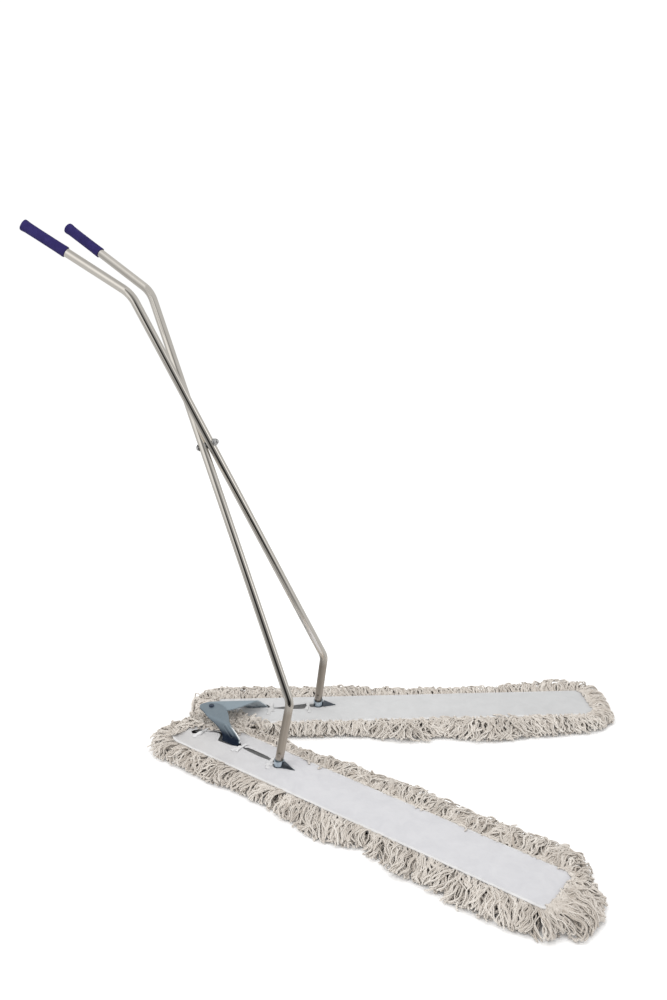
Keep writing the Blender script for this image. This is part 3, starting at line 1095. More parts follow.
def make_fringe(label, side):
    rng = np.random.default_rng(301 if side > 0 else 907)
    line = resample(OUTLINE, 1.0)
    tang, nrm = outline_frame(line)
    # softened normals let corner loops fan out evenly
    for _ in range(60):
        nrm = nrm * 0.5 + 0.25 * (np.roll(nrm, 1, 0) + np.roll(nrm, -1, 0))
    nrm /= np.linalg.norm(nrm, axis=1)[:, None]
    tang = np.stack([-nrm[:, 1], nrm[:, 0]], -1)
    total = len(line)
    reach, raise_z, room = fringe_shape(line, nrm, side)
    # a parting at the far outer corner: strands lie to either side of it
    if side < 0:
        turn_out = np.degrees(np.arctan2(nrm[:, 0], nrm[:, 1]))
        part = np.where(turn_out < 34, turn_out * 0.5, 45 + (turn_out - 34) * 45 / 56)
        use = (line[:, 0] > S1 - 60) & (nrm[:, 1] > 0.05) & (nrm[:, 0] > 0.02)
        part = np.radians(np.where(use, part, turn_out))
        nrm = np.stack([np.sin(part), np.cos(part)], -1)
        tang = np.stack([-nrm[:, 1], nrm[:, 0]], -1)
    f = np.linspace(0, 1, 33)
    g = f[None]
    all_paths, all_tint, all_r = [], [], []
    tiers = (  # spacing, root z, crest z, tip z, reach share, inset, base tone
        (3.7, (22.5, 25.5), (24.5, 28.0), (6.0, 14.0), (0.84, 1.00), (-4.0, 0.5), 0.62),
        (3.9, (17.0, 21.0), (21.0, 25.0), (4.5, 10.5), (0.88, 1.02), (-6.0, -1.0), 0.56),
        (5.0, (10.0, 15.0), (12.0, 17.0), (3.2, 7.0), (0.88, 1.03), (-6.0, -2.0), 0.48),
        (8.5, (4.5, 9.0), (5.0, 9.5), (2.8, 4.6), (0.82, 1.00), (-6.0, -3.0), 0.38),
    )
    for tier, (gap, zr, crest_r, tip_r, share, inset, tone) in enumerate(tiers):
        cuts = [rng.uniform(-14, 0)]
        while cuts[-1] < total - 12:
            cuts.append(cuts[-1] + rng.uniform(13, 38))
        rows = []
        for a, b in zip(cuts[:-1], cuts[1:]):
            count = max(2, int(round((b - a) / gap)))
            mid = (a + b) / 2
            place_s, facing = line[int(mid) % total, 0], nrm[int(mid) % total]
            inner = facing[1] < -0.3
            far_end = facing[0] > 0.2 and place_s > S1 - 80
            count = int(count * 1.5) if far_end else count
            # bushy near the apex and along the inside of the V, hanging straighter outside
            curly = 1 - float(step01((place_s - 150) / 350.0))
            curly = max(curly, 0.75) if inner else max(curly, 0.45) if facing[0] > 0.4 else max(curly, 0.12)
            lean = rng.normal(0, 0.15 + 0.22 * curly)
            if side < 0 and facing[1] > 0.5:
                lean -= 0.35 * float(step01((place_s - 250) / 200.0))
            bow = rng.normal(0, 0.28 + 0.60 * curly)
            hook = rng.normal(0, 0.5 + 1.4 * curly)
            far = np.clip(rng.normal(0.95, 0.07), 0.72, 1.03)
            kind = rng.random()
            far = 0.97 if far_end else far * (0.76 if kind < 0.08 else 1.04 if kind > 0.86 else 1.0)
            high = rng.normal(2.0, 2.6) if inner else rng.normal(1.5, 2.0) if facing[0] > 0.6 else rng.normal(0, 1.6)
            shade = rng.normal(tone, 0.07) - (0.10 * (1 - float(step01((place_s - 100) / 350.0))) if side < 0 else 0.0)
            if far_end and side < 0:
                shade -= 0.09
            if inner and side > 0:
                shade += 0.07
            tip_c = rng.uniform(*tip_r)
            pinch = rng.uniform(0.05, 0.42)
            crimp, waves, phase = rng.uniform(0.24, 0.48) + 0.22 * curly, rng.uniform(1.3, 2.4) + 1.0 * curly, rng.random()
            for i in range(count):
                rows.append((a + (i + 0.5 + rng.uniform(-0.35, 0.35)) * (b - a) / count, mid, lean + rng.normal(0, 0.09 + 0.14 * curly),
                             bow + rng.normal(0, 0.2 + 0.25 * curly), hook + rng.normal(0, 0.4 + 0.6 * curly), far * rng.uniform(*share),
                             rng.uniform(*zr), max(2.6, tip_c + rng.normal(0, 1.6)), rng.uniform(*crest_r) + high, rng.uniform(3.2, 6.4),
                             rng.uniform(-0.8, 0.8), np.clip(shade + rng.normal(0, 0.13), 0.0, 1.0), rng.uniform(1.14, 1.50),
                             pinch * rng.uniform(0.7, 1.2), crimp * rng.uniform(0.7, 1.3), waves * rng.uniform(0.85, 1.15),
                             phase + rng.normal(0, 0.2), rng.uniform(-2.6, 2.6)))
        (at, centre, theta0, turn_a, curl, length, z0, z1, crest, wide, roll, tint, thick, pinch, crimp, waves,
         phase, wind) = np.array(rows).T
        m = len(at)
        idx = np.floor(at).astype(int) % total
        p, nn, tt, rr, up = line[idx], nrm[idx], tang[idx], reach[idx], raise_z[idx]
        short = step01((36 - rr) / 24.0)
        weight = (1.0, 0.8, 0.4, 0.1)[tier]
        crest = crest + weight * (up + short * rng.uniform(2, 9, m))
        z1 = z1 + weight * (0.6 * up + short * rng.uniform(2, 15, m))
        run = np.maximum(rr * length - rng.uniform(*inset) * 0.5, 8.0)
        theta = (theta0[:, None] + turn_a[:, None] * g + curl[:, None] * np.clip(g - 0.45, 0, 1) ** 2 * 2.4
                 + crimp[:, None] * np.sin(2 * np.pi * (g * waves[:, None] + phase[:, None])))
        u = np.concatenate([np.zeros((m, 1)), np.cumsum(np.cos(theta[:, :-1]), 1)], 1)
        y = np.concatenate([np.zeros((m, 1)), np.cumsum(np.sin(theta[:, :-1]), 1)], 1)
        # strands that turn aside are longer, so that they still come out as far
        scale = run / np.maximum(u.max(1), 0.78 * (len(f) - 1))
        u, y = u * scale[:, None], y * scale[:, None]
        peak = rng.uniform(0.28, 0.55, m)[:, None]
        rise_part = step01(g / peak)
        fall_part = np.clip((g - peak) / (1 - peak), 0, 1)
        drop = fall_part ** rng.uniform(1.3, 2.3, m)[:, None]
        z = z0[:, None] + (crest - z0)[:, None] * rise_part + (z1 - crest)[:, None] * drop
        z = z + 0.9 * np.sin(2 * np.pi * (g * 0.8 * waves[:, None] + 0.3 + phase[:, None])) * step01(g * 3)
        squeeze = (centre - at)[:, None] * pinch[:, None] * step01(g * 1.25)
        lu, ly, lz = loops_from_axis(u, y, z, theta, wide, roll, squeeze, wind)
        # each leg of a loop wavers on its own
        own = np.sin(2 * np.pi * (TAU[None] * rng.uniform(2.2, 4.4, m)[:, None] + rng.random(m)[:, None])) * np.sin(np.pi * TAU)[None]
        ly = ly + own * rng.uniform(0.4, 1.6, m)[:, None]
        lz = lz + np.roll(own, 5, 1) * rng.uniform(0.2, 1.0, m)[:, None]
        # no strand lies further out than the pad's own edge line
        most, knee = rr[:, None] * 1.02, rr[:, None] * 0.22
        lu = np.where(lu > most - knee, most - knee + knee * np.tanh((lu - most + knee) / knee), lu)
        lu = lu + rng.uniform(*inset, m)[:, None]
        s = p[:, :1] + nn[:, :1] * lu + tt[:, :1] * ly
        n = p[:, 1:] + nn[:, 1:] * lu + tt[:, 1:] * ly
        # round the ends no strand strays past its neighbours' reach
        ends = np.flatnonzero((s > S1 - 50).any(1) | (s < S0 + 50).any(1))
        for i in ends:
            at_p = np.stack([s[i], n[i]], -1)
            near = np.argmin(((at_p[:, None] - line[None]) ** 2).sum(2), 1)
            out = at_p - line[near]
            dist = np.linalg.norm(out, axis=1)
            cap = reach[near] * 1.02 * length[i] / max(length[i], 0.98) + 3.0
            far_out = (dist > cap) & ((out * nrm[near]).sum(1) > 0)
            keep = np.where(far_out, cap / np.maximum(dist, 1e-6), 1.0)
            at_p = line[near] + out * keep[:, None]
            s[i], n[i] = at_p.T
        # nothing crosses far over the middle of the V
        over = -(n + BISECTOR * s) * CS
        push = np.where(s < 260, np.maximum(over - past_middle(s), 0.0), 0.0)
        s, n = s + push * SN, n + push * CS
        # under the cover the strands stay below the cloth
        flat_s, flat_n = s.ravel(), n.ravel()
        under = inside_outline(np.stack([flat_s, flat_n], -1), OUTLINE)
        lid = np.full(len(flat_s), 1e3)
        edge_in = edge_distance(flat_s[under], flat_n[under])
        lid[under] = canvas_height(flat_s[under], flat_n[under], side, None, edge_in) - 2.2 - 1.2 * step01((edge_in - 1.0) / 4.0)
        lz = np.minimum(lz, lid.reshape(lz.shape))
        lz = np.maximum(lz, thick[:, None] + 0.1)
        # darker towards the root, paler at the tip
        along = np.clip(tint[:, None] + 0.24 * (REACH_F[None] - 0.62), 0, 1)
        all_paths.append(np.stack([s, n, lz], -1))
        all_tint.append(along)
        all_r.append(thick)
    # curls that spill over the hem beside the apex, where the two mops crowd each other
    zone = np.array(MATS[side], float)
    m = 220 if side < 0 else 270
    spots = []
    while len(spots) < m:
        trial = zone.min(0) + rng.random((400, 2)) * (zone.max(0) - zone.min(0))
        ok = inside_outline(trial, zone) & inside_outline(trial, OUTLINE)
        spots += list(trial[ok])
    p = np.array(spots[:m])
    home = np.argmin(((p[:, None] - line[None]) ** 2).sum(2), 1)
    heading = np.arctan2(-nrm[home, 1], -nrm[home, 0]) + rng.normal(0, 0.9, m)
    bend = rng.normal(0, 1.5, m)[:, None] * g + rng.normal(0, 2.4, m)[:, None] * g ** 2
    theta = heading[:, None] + bend + 0.35 * np.sin(2 * np.pi * (g * rng.uniform(1.2, 2.4, m)[:, None] + rng.random(m)[:, None]))
    run = rng.uniform(16, 34, m)[:, None] / (len(f) - 1)
    a_s = np.concatenate([np.zeros((m, 1)), np.cumsum(np.cos(theta[:, :-1]) * run, 1)], 1)
    a_n = np.concatenate([np.zeros((m, 1)), np.cumsum(np.sin(theta[:, :-1]) * run, 1)], 1)
    a_s, a_n = a_s - a_s[:, 16:17], a_n - a_n[:, 16:17]
    layer = rng.uniform(0, 6.5, m)[:, None]
    bulge = layer + rng.uniform(0, 4, m)[:, None] * np.sin(np.pi * g) - 1.5 * g
    ls, ln, lz = loops_from_axis(a_s, a_n, bulge, theta, rng.uniform(3.0, 7.0, m), rng.uniform(-0.5, 0.5, m), np.zeros((m, len(f))))
    s, n = p[:, :1] + ls, p[:, 1:] + ln
    s = np.where(s < S0 + 6, S0 + 6 + (s - S0 - 6) * 0.3, s)
    n = np.where(n > 116, 116 + (n - 116) * 0.3, n)
    over = -(n + BISECTOR * s) * CS
    push = np.maximum(over - past_middle(s), 0.0)
    s, n = s + push * SN, n + push * CS
    ground = np.where(inside_outline(np.stack([s.ravel(), n.ravel()], -1), OUTLINE).reshape(s.shape), canvas_height(s, n, side), 24.0)
    thick = rng.uniform(1.14, 1.50, m)
    all_paths.append(np.stack([s, n, ground + thick[:, None] + 0.3 + np.maximum(lz, 0.0)], -1))
    all_tint.append(np.clip(rng.normal(0.56, 0.15, m), 0, 1)[:, None] + np.zeros((1, LOOP_N)))
    all_r.append(thick)
    # short strands that lie back over the hem at the far end and inside the V
    far_end = (nrm[:, 0] > 0.35) & (line[:, 0] > S1 - 80)
    inside_v = (nrm[:, 1] < -0.6) & (line[:, 0] > 110)
    pick = np.concatenate([rng.choice(np.flatnonzero(far_end), 70), rng.choice(np.flatnonzero(inside_v), 150)])
    m = len(pick)
    p, nn, tt = line[pick], nrm[pick], tang[pick]
    back = np.where(far_end[pick], rng.uniform(2.0, 9.0, m), rng.uniform(0.0, 4.5, m))
    theta = (rng.normal(0, 0.6, m)[:, None] + rng.normal(0, 1.2, m)[:, None] * g
             + 0.4 * np.sin(2 * np.pi * (g * rng.uniform(1.2, 2.4, m)[:, None] + rng.random(m)[:, None])))
    run = rng.uniform(20, 36, m)[:, None] / (len(f) - 1)
    u = np.concatenate([np.zeros((m, 1)), np.cumsum(np.cos(theta[:, :-1]) * run, 1)], 1) - back[:, None]
    y = np.concatenate([np.zeros((m, 1)), np.cumsum(np.sin(theta[:, :-1]) * run, 1)], 1)
    hump = rng.uniform(0.5, 3.0, m)[:, None] * np.sin(np.pi * g)
    lu, ly, lz = loops_from_axis(u, y, hump, theta, rng.uniform(3.0, 6.0, m), rng.uniform(-0.4, 0.4, m), np.zeros((m, len(f))))
    s = p[:, :1] + nn[:, :1] * lu + tt[:, :1] * ly
    n = p[:, 1:] + nn[:, 1:] * lu + tt[:, 1:] * ly
    thick = rng.uniform(1.14, 1.50, m)
    flat_s, flat_n = s.ravel(), n.ravel()
    on_cloth = inside_outline(np.stack([flat_s, flat_n], -1), OUTLINE)
    ground = np.full(len(flat_s), 24.0)
    ground[on_cloth] = np.maximum(canvas_height(flat_s[on_cloth], flat_n[on_cloth], side), 24.0)
    lz = ground.reshape(s.shape) + lz + 0.4 + thick[:, None] - 0.16 * np.clip(lu, 0, None)
    over = -(n + BISECTOR * s) * CS
    push = np.where(s < 260, np.maximum(over - past_middle(s), 0.0), 0.0)
    s, n = s + push * SN, n + push * CS
    all_paths.append(np.stack([s, n, lz], -1))
    all_tint.append(np.clip(rng.normal(0.60, 0.13, m), 0, 1)[:, None] + np.zeros((1, LOOP_N)))
    all_r.append(thick)
    paths, tint, rad = np.concatenate(all_paths), np.concatenate(all_tint), np.concatenate(all_r)
    pieces = []
    size = 420
    order = np.argsort(paths[:, 0, 0], kind="stable")
    paths, tint, rad = paths[order], tint[order], rad[order]
    # loops beside the hinge follow their own mop at the hem and meet the other mop's at the V's middle
    along = paths[:, :, 0].mean(1)
    away = ((paths[:, :, 1] + BISECTOR * paths[:, :, 0]) * CS).min(1) - 2.0
    rigid = np.ones(len(paths), bool)
    for k, (lo, hi, band) in enumerate(MEETING):
        meets = np.flatnonzero((along >= lo) & (along < hi) & (away < band))
        rigid[meets] = False
        for j in range(int(math.ceil(len(meets) / size))):
            some = meets[j * size:(j + 1) * size]
            obj = strand_object(f"{label}_yarn_meeting_{k + 1}{'ab'[j]}", paths[some], rad[some, None], side, tint[some])
            obj.data.materials.append(mat_yarn)
            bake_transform(obj)
    print(label, "loops in all", len(paths), "that bend", int((~rigid).sum()))
    paths, tint, rad = paths[rigid], tint[rigid], rad[rigid]
    count = int(math.ceil(len(paths) / size))
    bounds_i = np.linspace(0, len(paths), count + 1).astype(int)
    for k in range(count):
        a, b = bounds_i[k], bounds_i[k + 1]
        obj = strand_object(f"{label}_yarn_fringe_{k + 1}", paths[a:b], rad[a:b, None], side, tint[a:b])
        pieces.append(finish_piece(obj, mat_yarn, label + "_frame", "yarn"))
    print(label, "fringe loops", len(paths))
    return pieces


def make_underside(label, side):
    """Yarn sole: rows of flattened loops over the whole floor side."""
    rng = np.random.default_rng(55 if side > 0 else 56)
    roots = []
    for s in np.arange(S0 + 10, S1 - 6, 13.0):
        for n in np.arange(MID - 58, MID + 59, 12.5):
            roots.append((s + rng.uniform(-3, 3), n + rng.uniform(-3, 3)))
    roots = np.array(roots)
    inside = edge_distance(roots[:, 0], roots[:, 1]) > 5
    keep = inside & (roots[:, 1] > np.where(roots[:, 0] < 0, -roots[:, 0] * 0.64, -9 - 0.0 * roots[:, 0]))
    roots = roots[keep]
    m = len(roots)
    f = np.linspace(0, 1, 25)
    outward_sign = np.where(roots[:, 1] > MID, 1.0, -1.0)
    theta = (rng.normal(0, 0.45, m)[:, None] + rng.normal(0, 0.8, m)[:, None] * f[None])
    run = rng.uniform(28, 46, m)[:, None] / 24.0
    u = np.concatenate([np.zeros((m, 1)), np.cumsum(np.cos(theta[:, :-1]) * run, 1)], 1)
    y = np.concatenate([np.zeros((m, 1)), np.cumsum(np.sin(theta[:, :-1]) * run, 1)], 1)
    z = rng.uniform(3.0, 5.0, m)[:, None] - 2.0 * f[None] + 0.0 * u
    lu, ly, lz = loops_from_axis(u, y, z, theta, rng.uniform(4, 9, m), rng.uniform(-0.2, 0.2, m), np.zeros_like(u))
    rad = rng.uniform(1.3, 1.6, m)
    lz = np.maximum(lz, rad[:, None] + 0.1)
    s = roots[:, :1] + ly
    n = roots[:, 1:] + outward_sign[:, None] * lu
    over = -(n + BISECTOR * s) * CS + np.where(s > 0, 0.16 * s, -0.24 * s) + 4.0
    push = np.where((s < 260) & (over > 0), over, 0.0)
    paths = np.stack([s + push * SN, n + push * CS, lz], -1)
    tint = np.clip(rng.normal(0.5, 0.18, m), 0, 1)
    pieces = []
    half = int(math.ceil(m / 2))
    for k, (a, b) in enumerate(((0, half), (half, m))):
        obj = strand_object(f"{label}_yarn_sole_{k + 1}", paths[a:b], rad[a:b, None], side, tint[a:b])
        pieces.append(finish_piece(obj, mat_yarn, label + "_frame", "yarn"))
    print(label, "sole loops", m)
    return pieces


def make_core(label, side):
    """Matted body of the pad that the loops are sewn to."""
    line = resample(OUTLINE - OUT_N * 3.0, 6.0)
    k = len(line)
    centre_n = np.clip(line[:, 1], MID - 20, MID + 20)
    inner = np.stack([np.clip(line[:, 0], S0 + 45, S1 - 45), centre_n], -1)
    rings = []
    for f, z in ((0.0, 13.4), (0.5, 13.6), (0.86, 13.4), (0.97, 12.4), (1.0, 10.0), (1.0, 7.0), (0.97, 4.6), (0.86, 4.0), (0.5, 3.8), (0.0, 3.8)):
        p = inner * (1 - f) + line * f
        wob = 0.6 * smooth_noise(p[:, 0] / 9.0, p[:, 1] / 9.0 + z, 77)
        rings.append(np.stack([p[:, 0], p[:, 1], z + (wob if 0.2 < f else 0 * wob)], -1))
    v = np.concatenate(rings)
    j = np.arange(k)
    quads = [np.stack([r * k + j, r * k + (j + 1) % k, (r + 1) * k + (j + 1) % k, (r + 1) * k + j], -1) for r in range(len(rings) - 1)]
    quads = np.concatenate(quads)
    if side > 0:
        quads = quads[:, ::-1]
    uv = np.stack([v[:, 0], v[:, 1]], -1)[quads] * 0.01
    obj = quad_mesh(label + "_yarn_core", place(v[:, 0], v[:, 1], v[:, 2], side), quads, {"strand": uv},
                    {"tint": 0.5 + 0.4 * smooth_noise(v[:, 0] / 14.0, v[:, 1] / 14.0, 78)})
    weld = bmesh.new()
    weld.from_mesh(obj.data)
    bmesh.ops.remove_doubles(weld, verts=weld.verts, dist=1e-5)
    bmesh.ops.holes_fill(weld, edges=weld.edges, sides=0)
    bmesh.ops.recalc_face_normals(weld, faces=weld.faces)
    weld.to_mesh(obj.data)
    weld.free()
    finish_piece(obj, mat_core, label + "_frame", "yarn", label + "_yarn_pad")
    return obj


# ------------------------------------------------------------------ hand grips
def make_grip(label):
    """Turned profile: slim barrel, flared end with a soft rim."""
    a, b = Vector(PATHS[label][2]), Vector(PATHS[label][3])
    along = (b - a).normalized()
    start = b - along * 0.110
    side_x = along.cross(Vector((0, 0, 1))).normalized()
    side_y = along.cross(side_x)
    profile = ((0.6, 10.15), (0.0, 10.9), (0.0, 11.7), (0.5, 12.25), (1.6, 12.45), (4.0, 12.45), (10.0, 12.25), (22.0, 12.05),
               (45.0, 12.0), (68.0, 12.0), (82.0, 12.1), (90.0, 12.15), (96.0, 12.25), (100.5, 12.55), (103.5, 12.95), (106.0, 13.15),
               (108.2, 13.05), (109.5, 12.65), (110.2, 11.9), (110.5, 10.5), (110.4, 7.5), (110.1, 4.0), (109.9, 2.2), (108.9, 1.6), (108.2, 0.6))
    seg = 72
    v, uv = [], []
    for d, r in profile:
        for j in range(seg):
            ang = 2 * math.pi * j / seg
            part = 0.14 * max(0.0, 1 - abs(((ang + math.pi / 2) % math.pi) - math.pi / 2) / 0.045) if 4 < d < 106 else 0.0
            rr = (r + part) * 0.001
            p = start + along * (d * 0.001) + side_x * (rr * math.cos(ang)) + side_y * (rr * math.sin(ang))
            v.append(p)
    quads = []
    for i in range(len(profile) - 1):
        for j in range(seg):
            k = (j + 1) % seg
            quads.append((i * seg + j, i * seg + k, (i + 1) * seg + k, (i + 1) * seg + j))
    obj = quad_mesh(label + "_hand_grip", np.array(v), np.array(quads))
    weld = bmesh.new()
    weld.from_mesh(obj.data)
    weld.verts.ensure_lookup_table()
    bmesh.ops.contextual_create(weld, geom=[weld.verts[(len(profile) - 1) * seg + j] for j in range(seg)])
    bmesh.ops.recalc_face_normals(weld, faces=weld.faces)
    weld.to_mesh(obj.data)
    weld.free()
    return finish_piece(obj, mat_grip, label + "_handle", "grip", label + "_grip")


# ------------------------------------------------------------------ handle tubes
def bent_line(points, radii):
    """Centre line of a bent tube, mm: straight runs joined by arcs."""
    pts = [np.array(p) * 1000.0 for p in points]
    out = [pts[0]]
    for i in range(1, len(pts) - 1):
        p = pts[i]
        a, b = pts[i - 1] - p, pts[i + 1] - p
        a, b = a / np.linalg.norm(a), b / np.linalg.norm(b)
        half = math.acos(float(np.clip(a @ b, -1, 1))) / 2
        r = radii[i - 1]
        start = p + a * r / math.tan(half)
        mid = p + (a + b) / np.linalg.norm(a + b) * r / math.sin(half)
        e1 = (start - mid) / r
        sweep_a = math.pi - 2 * half
        k = max(10, int(sweep_a * r / 1.8))
        out += [mid + r * (e1 * math.cos(sweep_a * j / k) - a * math.sin(sweep_a * j / k)) for j in range(k + 1)]
    out.append(pts[-1])
    line = [out[0]]
    for p, q in zip(out[:-1], out[1:]):
        parts = max(1, int(np.linalg.norm(q - p) / 16.0))
        line += [p + (q - p) * (j + 1) / parts for j in range(parts)]
    return np.array(line)


def make_tube(label):
    """Bent steel tube, open at the foot, its top end inside the grip."""
    line = bent_line(PATHS[label], (45.0, 70.0))
    last = line[-1] - line[-2]
    line[-1] = line[-1] - last / np.linalg.norm(last) * 4.0
    tang = np.gradient(line, axis=0)
    tang /= np.linalg.norm(tang, axis=1)[:, None]
    ref = np.array([0.0, 1.0, 0.0])
    rings, lens, radii = [], [], []
    length = np.concatenate([[0], np.cumsum(np.linalg.norm(np.diff(line, axis=0), axis=1))])
    first_dir = tang[0]
    stations = [(line[0] + first_dir * 42.0, tang[0], 8.9, -44.0), (line[0] + first_dir * 0.5, tang[0], 8.9, -2.0),
                (line[0], tang[0], 9.2, -0.6), (line[0], tang[0], 9.7, 0.0), (line[0] + first_dir * 0.35, tang[0], 10.0, 0.4)]
    stations += [(p, t, 10.0, d) for p, t, d in zip(line[1:], tang[1:], length[1:])]
    stations += [(line[-1], tang[-1], 8.9, length[-1] + 1.0)]
    seg = 56
    v = []
    cur = ref
    for p, t, r, d in stations:
        cur = cur - (cur @ t) * t
        cur = cur / np.linalg.norm(cur)
        other = np.cross(t, cur)
        a = 2 * np.pi * np.arange(seg) / seg
        v.append(p[None] + r * (np.cos(a)[:, None] * cur[None] + np.sin(a)[:, None] * other[None]))
    v = np.concatenate(v) * 0.001
    m = len(stations)
    r_i, j = np.meshgrid(np.arange(m - 1), np.arange(seg), indexing="ij")
    k = (j + 1) % seg
    quads = np.stack([r_i * seg + j, r_i * seg + k, (r_i + 1) * seg + k, (r_i + 1) * seg + j], -1).reshape(-1, 4)
    run = np.array([d for *_, d in stations]) * 0.001
    u0, u1 = j / seg, (j + 1) / seg
    uv = np.stack([np.stack([u0, run[r_i]], -1), np.stack([u1, run[r_i]], -1), np.stack([u1, run[r_i + 1]], -1),
                   np.stack([u0, run[r_i + 1]], -1)], -2).reshape(-1, 4, 2)
    obj = quad_mesh(label + "_bent_tube", v, quads, {"length": uv})
    cap = bmesh.new()
    cap.from_mesh(obj.data)
    cap.verts.ensure_lookup_table()
    bmesh.ops.contextual_create(cap, geom=[cap.verts[(m - 1) * seg + i] for i in range(seg)])
    bmesh.ops.contextual_create(cap, geom=[cap.verts[i] for i in range(seg)])
    bmesh.ops.recalc_face_normals(cap, faces=cap.faces)
    cap.to_mesh(obj.data)
    cap.free()
    return finish_piece(obj, mat_tube, label + "_handle", "tube", label + "_handle_tube")


# ------------------------------------------------------------------ hinge arms
FOLD, FOOT, BAR_TOP, ARM_T = 32.0, 58.5, 34.5, 3.0
ARMS = {
    "left": dict(top=70.0,
                 before=((-31.0, 11.0), (-20.0, -8.0), (10.0, -22.0), (42.0, -17.5), (70.0, -4.0)), corner=(118.0, 8.0),
                 right=((129.0, 18.0), (141.0, 40.0)), foot=(142.0, 86.0),
                 left=((86.0, 36.0), (76.0, 28.0), (60.0, 19.0), (40.0, 12.0)), after=((-16.0, 26.5),),
                 rib=((99.0, 22.0), 42.0, 11.0, 38.0)),
    "right": dict(top=73.8,
                  before=((-31.0, 11.0), (-20.0, -8.0), (10.0, -22.0), (34.0, -15.0), (49.6, -5.0), (61.0, 3.4)), corner=(91.0, 2.0),
                  right=((100.0, 7.5), (119.0, 16.5), (140.0, 28.8), (142.0, 35.0)), foot=(140.0, 88.0),
                  left=((88.0, 37.0), (78.3, 29.9), (63.0, 21.0), (45.4, 15.5), (24.5, 10.9)), after=((-16.0, 26.5),),
                  rib=((98.0, 21.0), 44.0, 11.0, 28.0)),
}


def cut_corners(line, limit):
    """Closed outline with its corners cut once."""
    out = []
    for p, q in zip(line, np.roll(line, -1, 0)):
        gap = np.linalg.norm(q - p)
        c = min(0.25 * gap, limit) / max(gap, 1e-9)
        out += [p + (q - p) * c, q - (q - p) * c]
    return np.array(out)


def inside_outline(points, line):
    x, y = points[:, 0], points[:, 1]
    hit = np.zeros(len(points), bool)
    for (x0, y0), (x1, y1) in zip(line, np.roll(line, -1, 0)):
        crosses = (y0 > y) != (y1 > y)
        with np.errstate(divide="ignore", invalid="ignore"):
            at_x = x0 + (y - y0) / (y1 - y0) * (x1 - x0)
        hit ^= crosses & (x < at_x)
    return hit


def chain_distance(points, chain, closed=False):
    chain = np.asarray(chain, float)
    ends = np.roll(chain, -1, 0) if closed else chain[1:]
    starts = chain if closed else chain[:-1]
    best = np.full(len(points), 1e9)
    for p, q in zip(starts, ends):
        d = q - p
        u = np.clip(((points - p) @ d) / max(d @ d, 1e-12), 0, 1)
        best = np.minimum(best, np.linalg.norm(points - (p + u[:, None] * d), axis=1))
    return best


def fill_outline(line, holes, step):
    """Even triangles inside an outline: points (k, 2) and faces."""
    lo, hi = line.min(0), line.max(0)
    gx, gy = np.meshgrid(np.arange(lo[0], hi[0], step), np.arange(lo[1], hi[1], step * 0.866))
    gx = gx + (np.arange(gx.shape[0]) % 2)[:, None] * step * 0.5
    grid = np.stack([gx.ravel(), gy.ravel()], -1)
    keep = inside_outline(grid, line) & (chain_distance(grid, line, True) > step * 0.62)
    for centre, r in holes:
        keep &= np.linalg.norm(grid - np.array(centre), axis=1) > r + step * 0.45
    pts, edges = [line], []
    edges += [(i, (i + 1) % len(line)) for i in range(len(line))]
    start = len(line)
    for centre, r in holes:
        a = np.linspace(0, 2 * np.pi, 25)[:-1]
        pts.append(np.array(centre) + r * np.stack([np.cos(a), np.sin(a)], -1))
        edges += [(start + i, start + (i + 1) % 24) for i in range(24)]
        start += 24
    pts.append(grid[keep])
    pts = np.concatenate(pts)
    got = delaunay_2d_cdt([Vector(p) for p in pts], edges, [], 1, 1e-6, False)
    verts = np.array([tuple(p) for p in got[0]])
    faces = np.array([f for f in got[2] if len(f) == 3])
    mid = verts[faces].mean(1)
    ok = inside_outline(mid, line)
    for centre, r in holes:
        ok &= np.linalg.norm(mid - np.array(centre), axis=1) > r
    return verts, faces[ok]


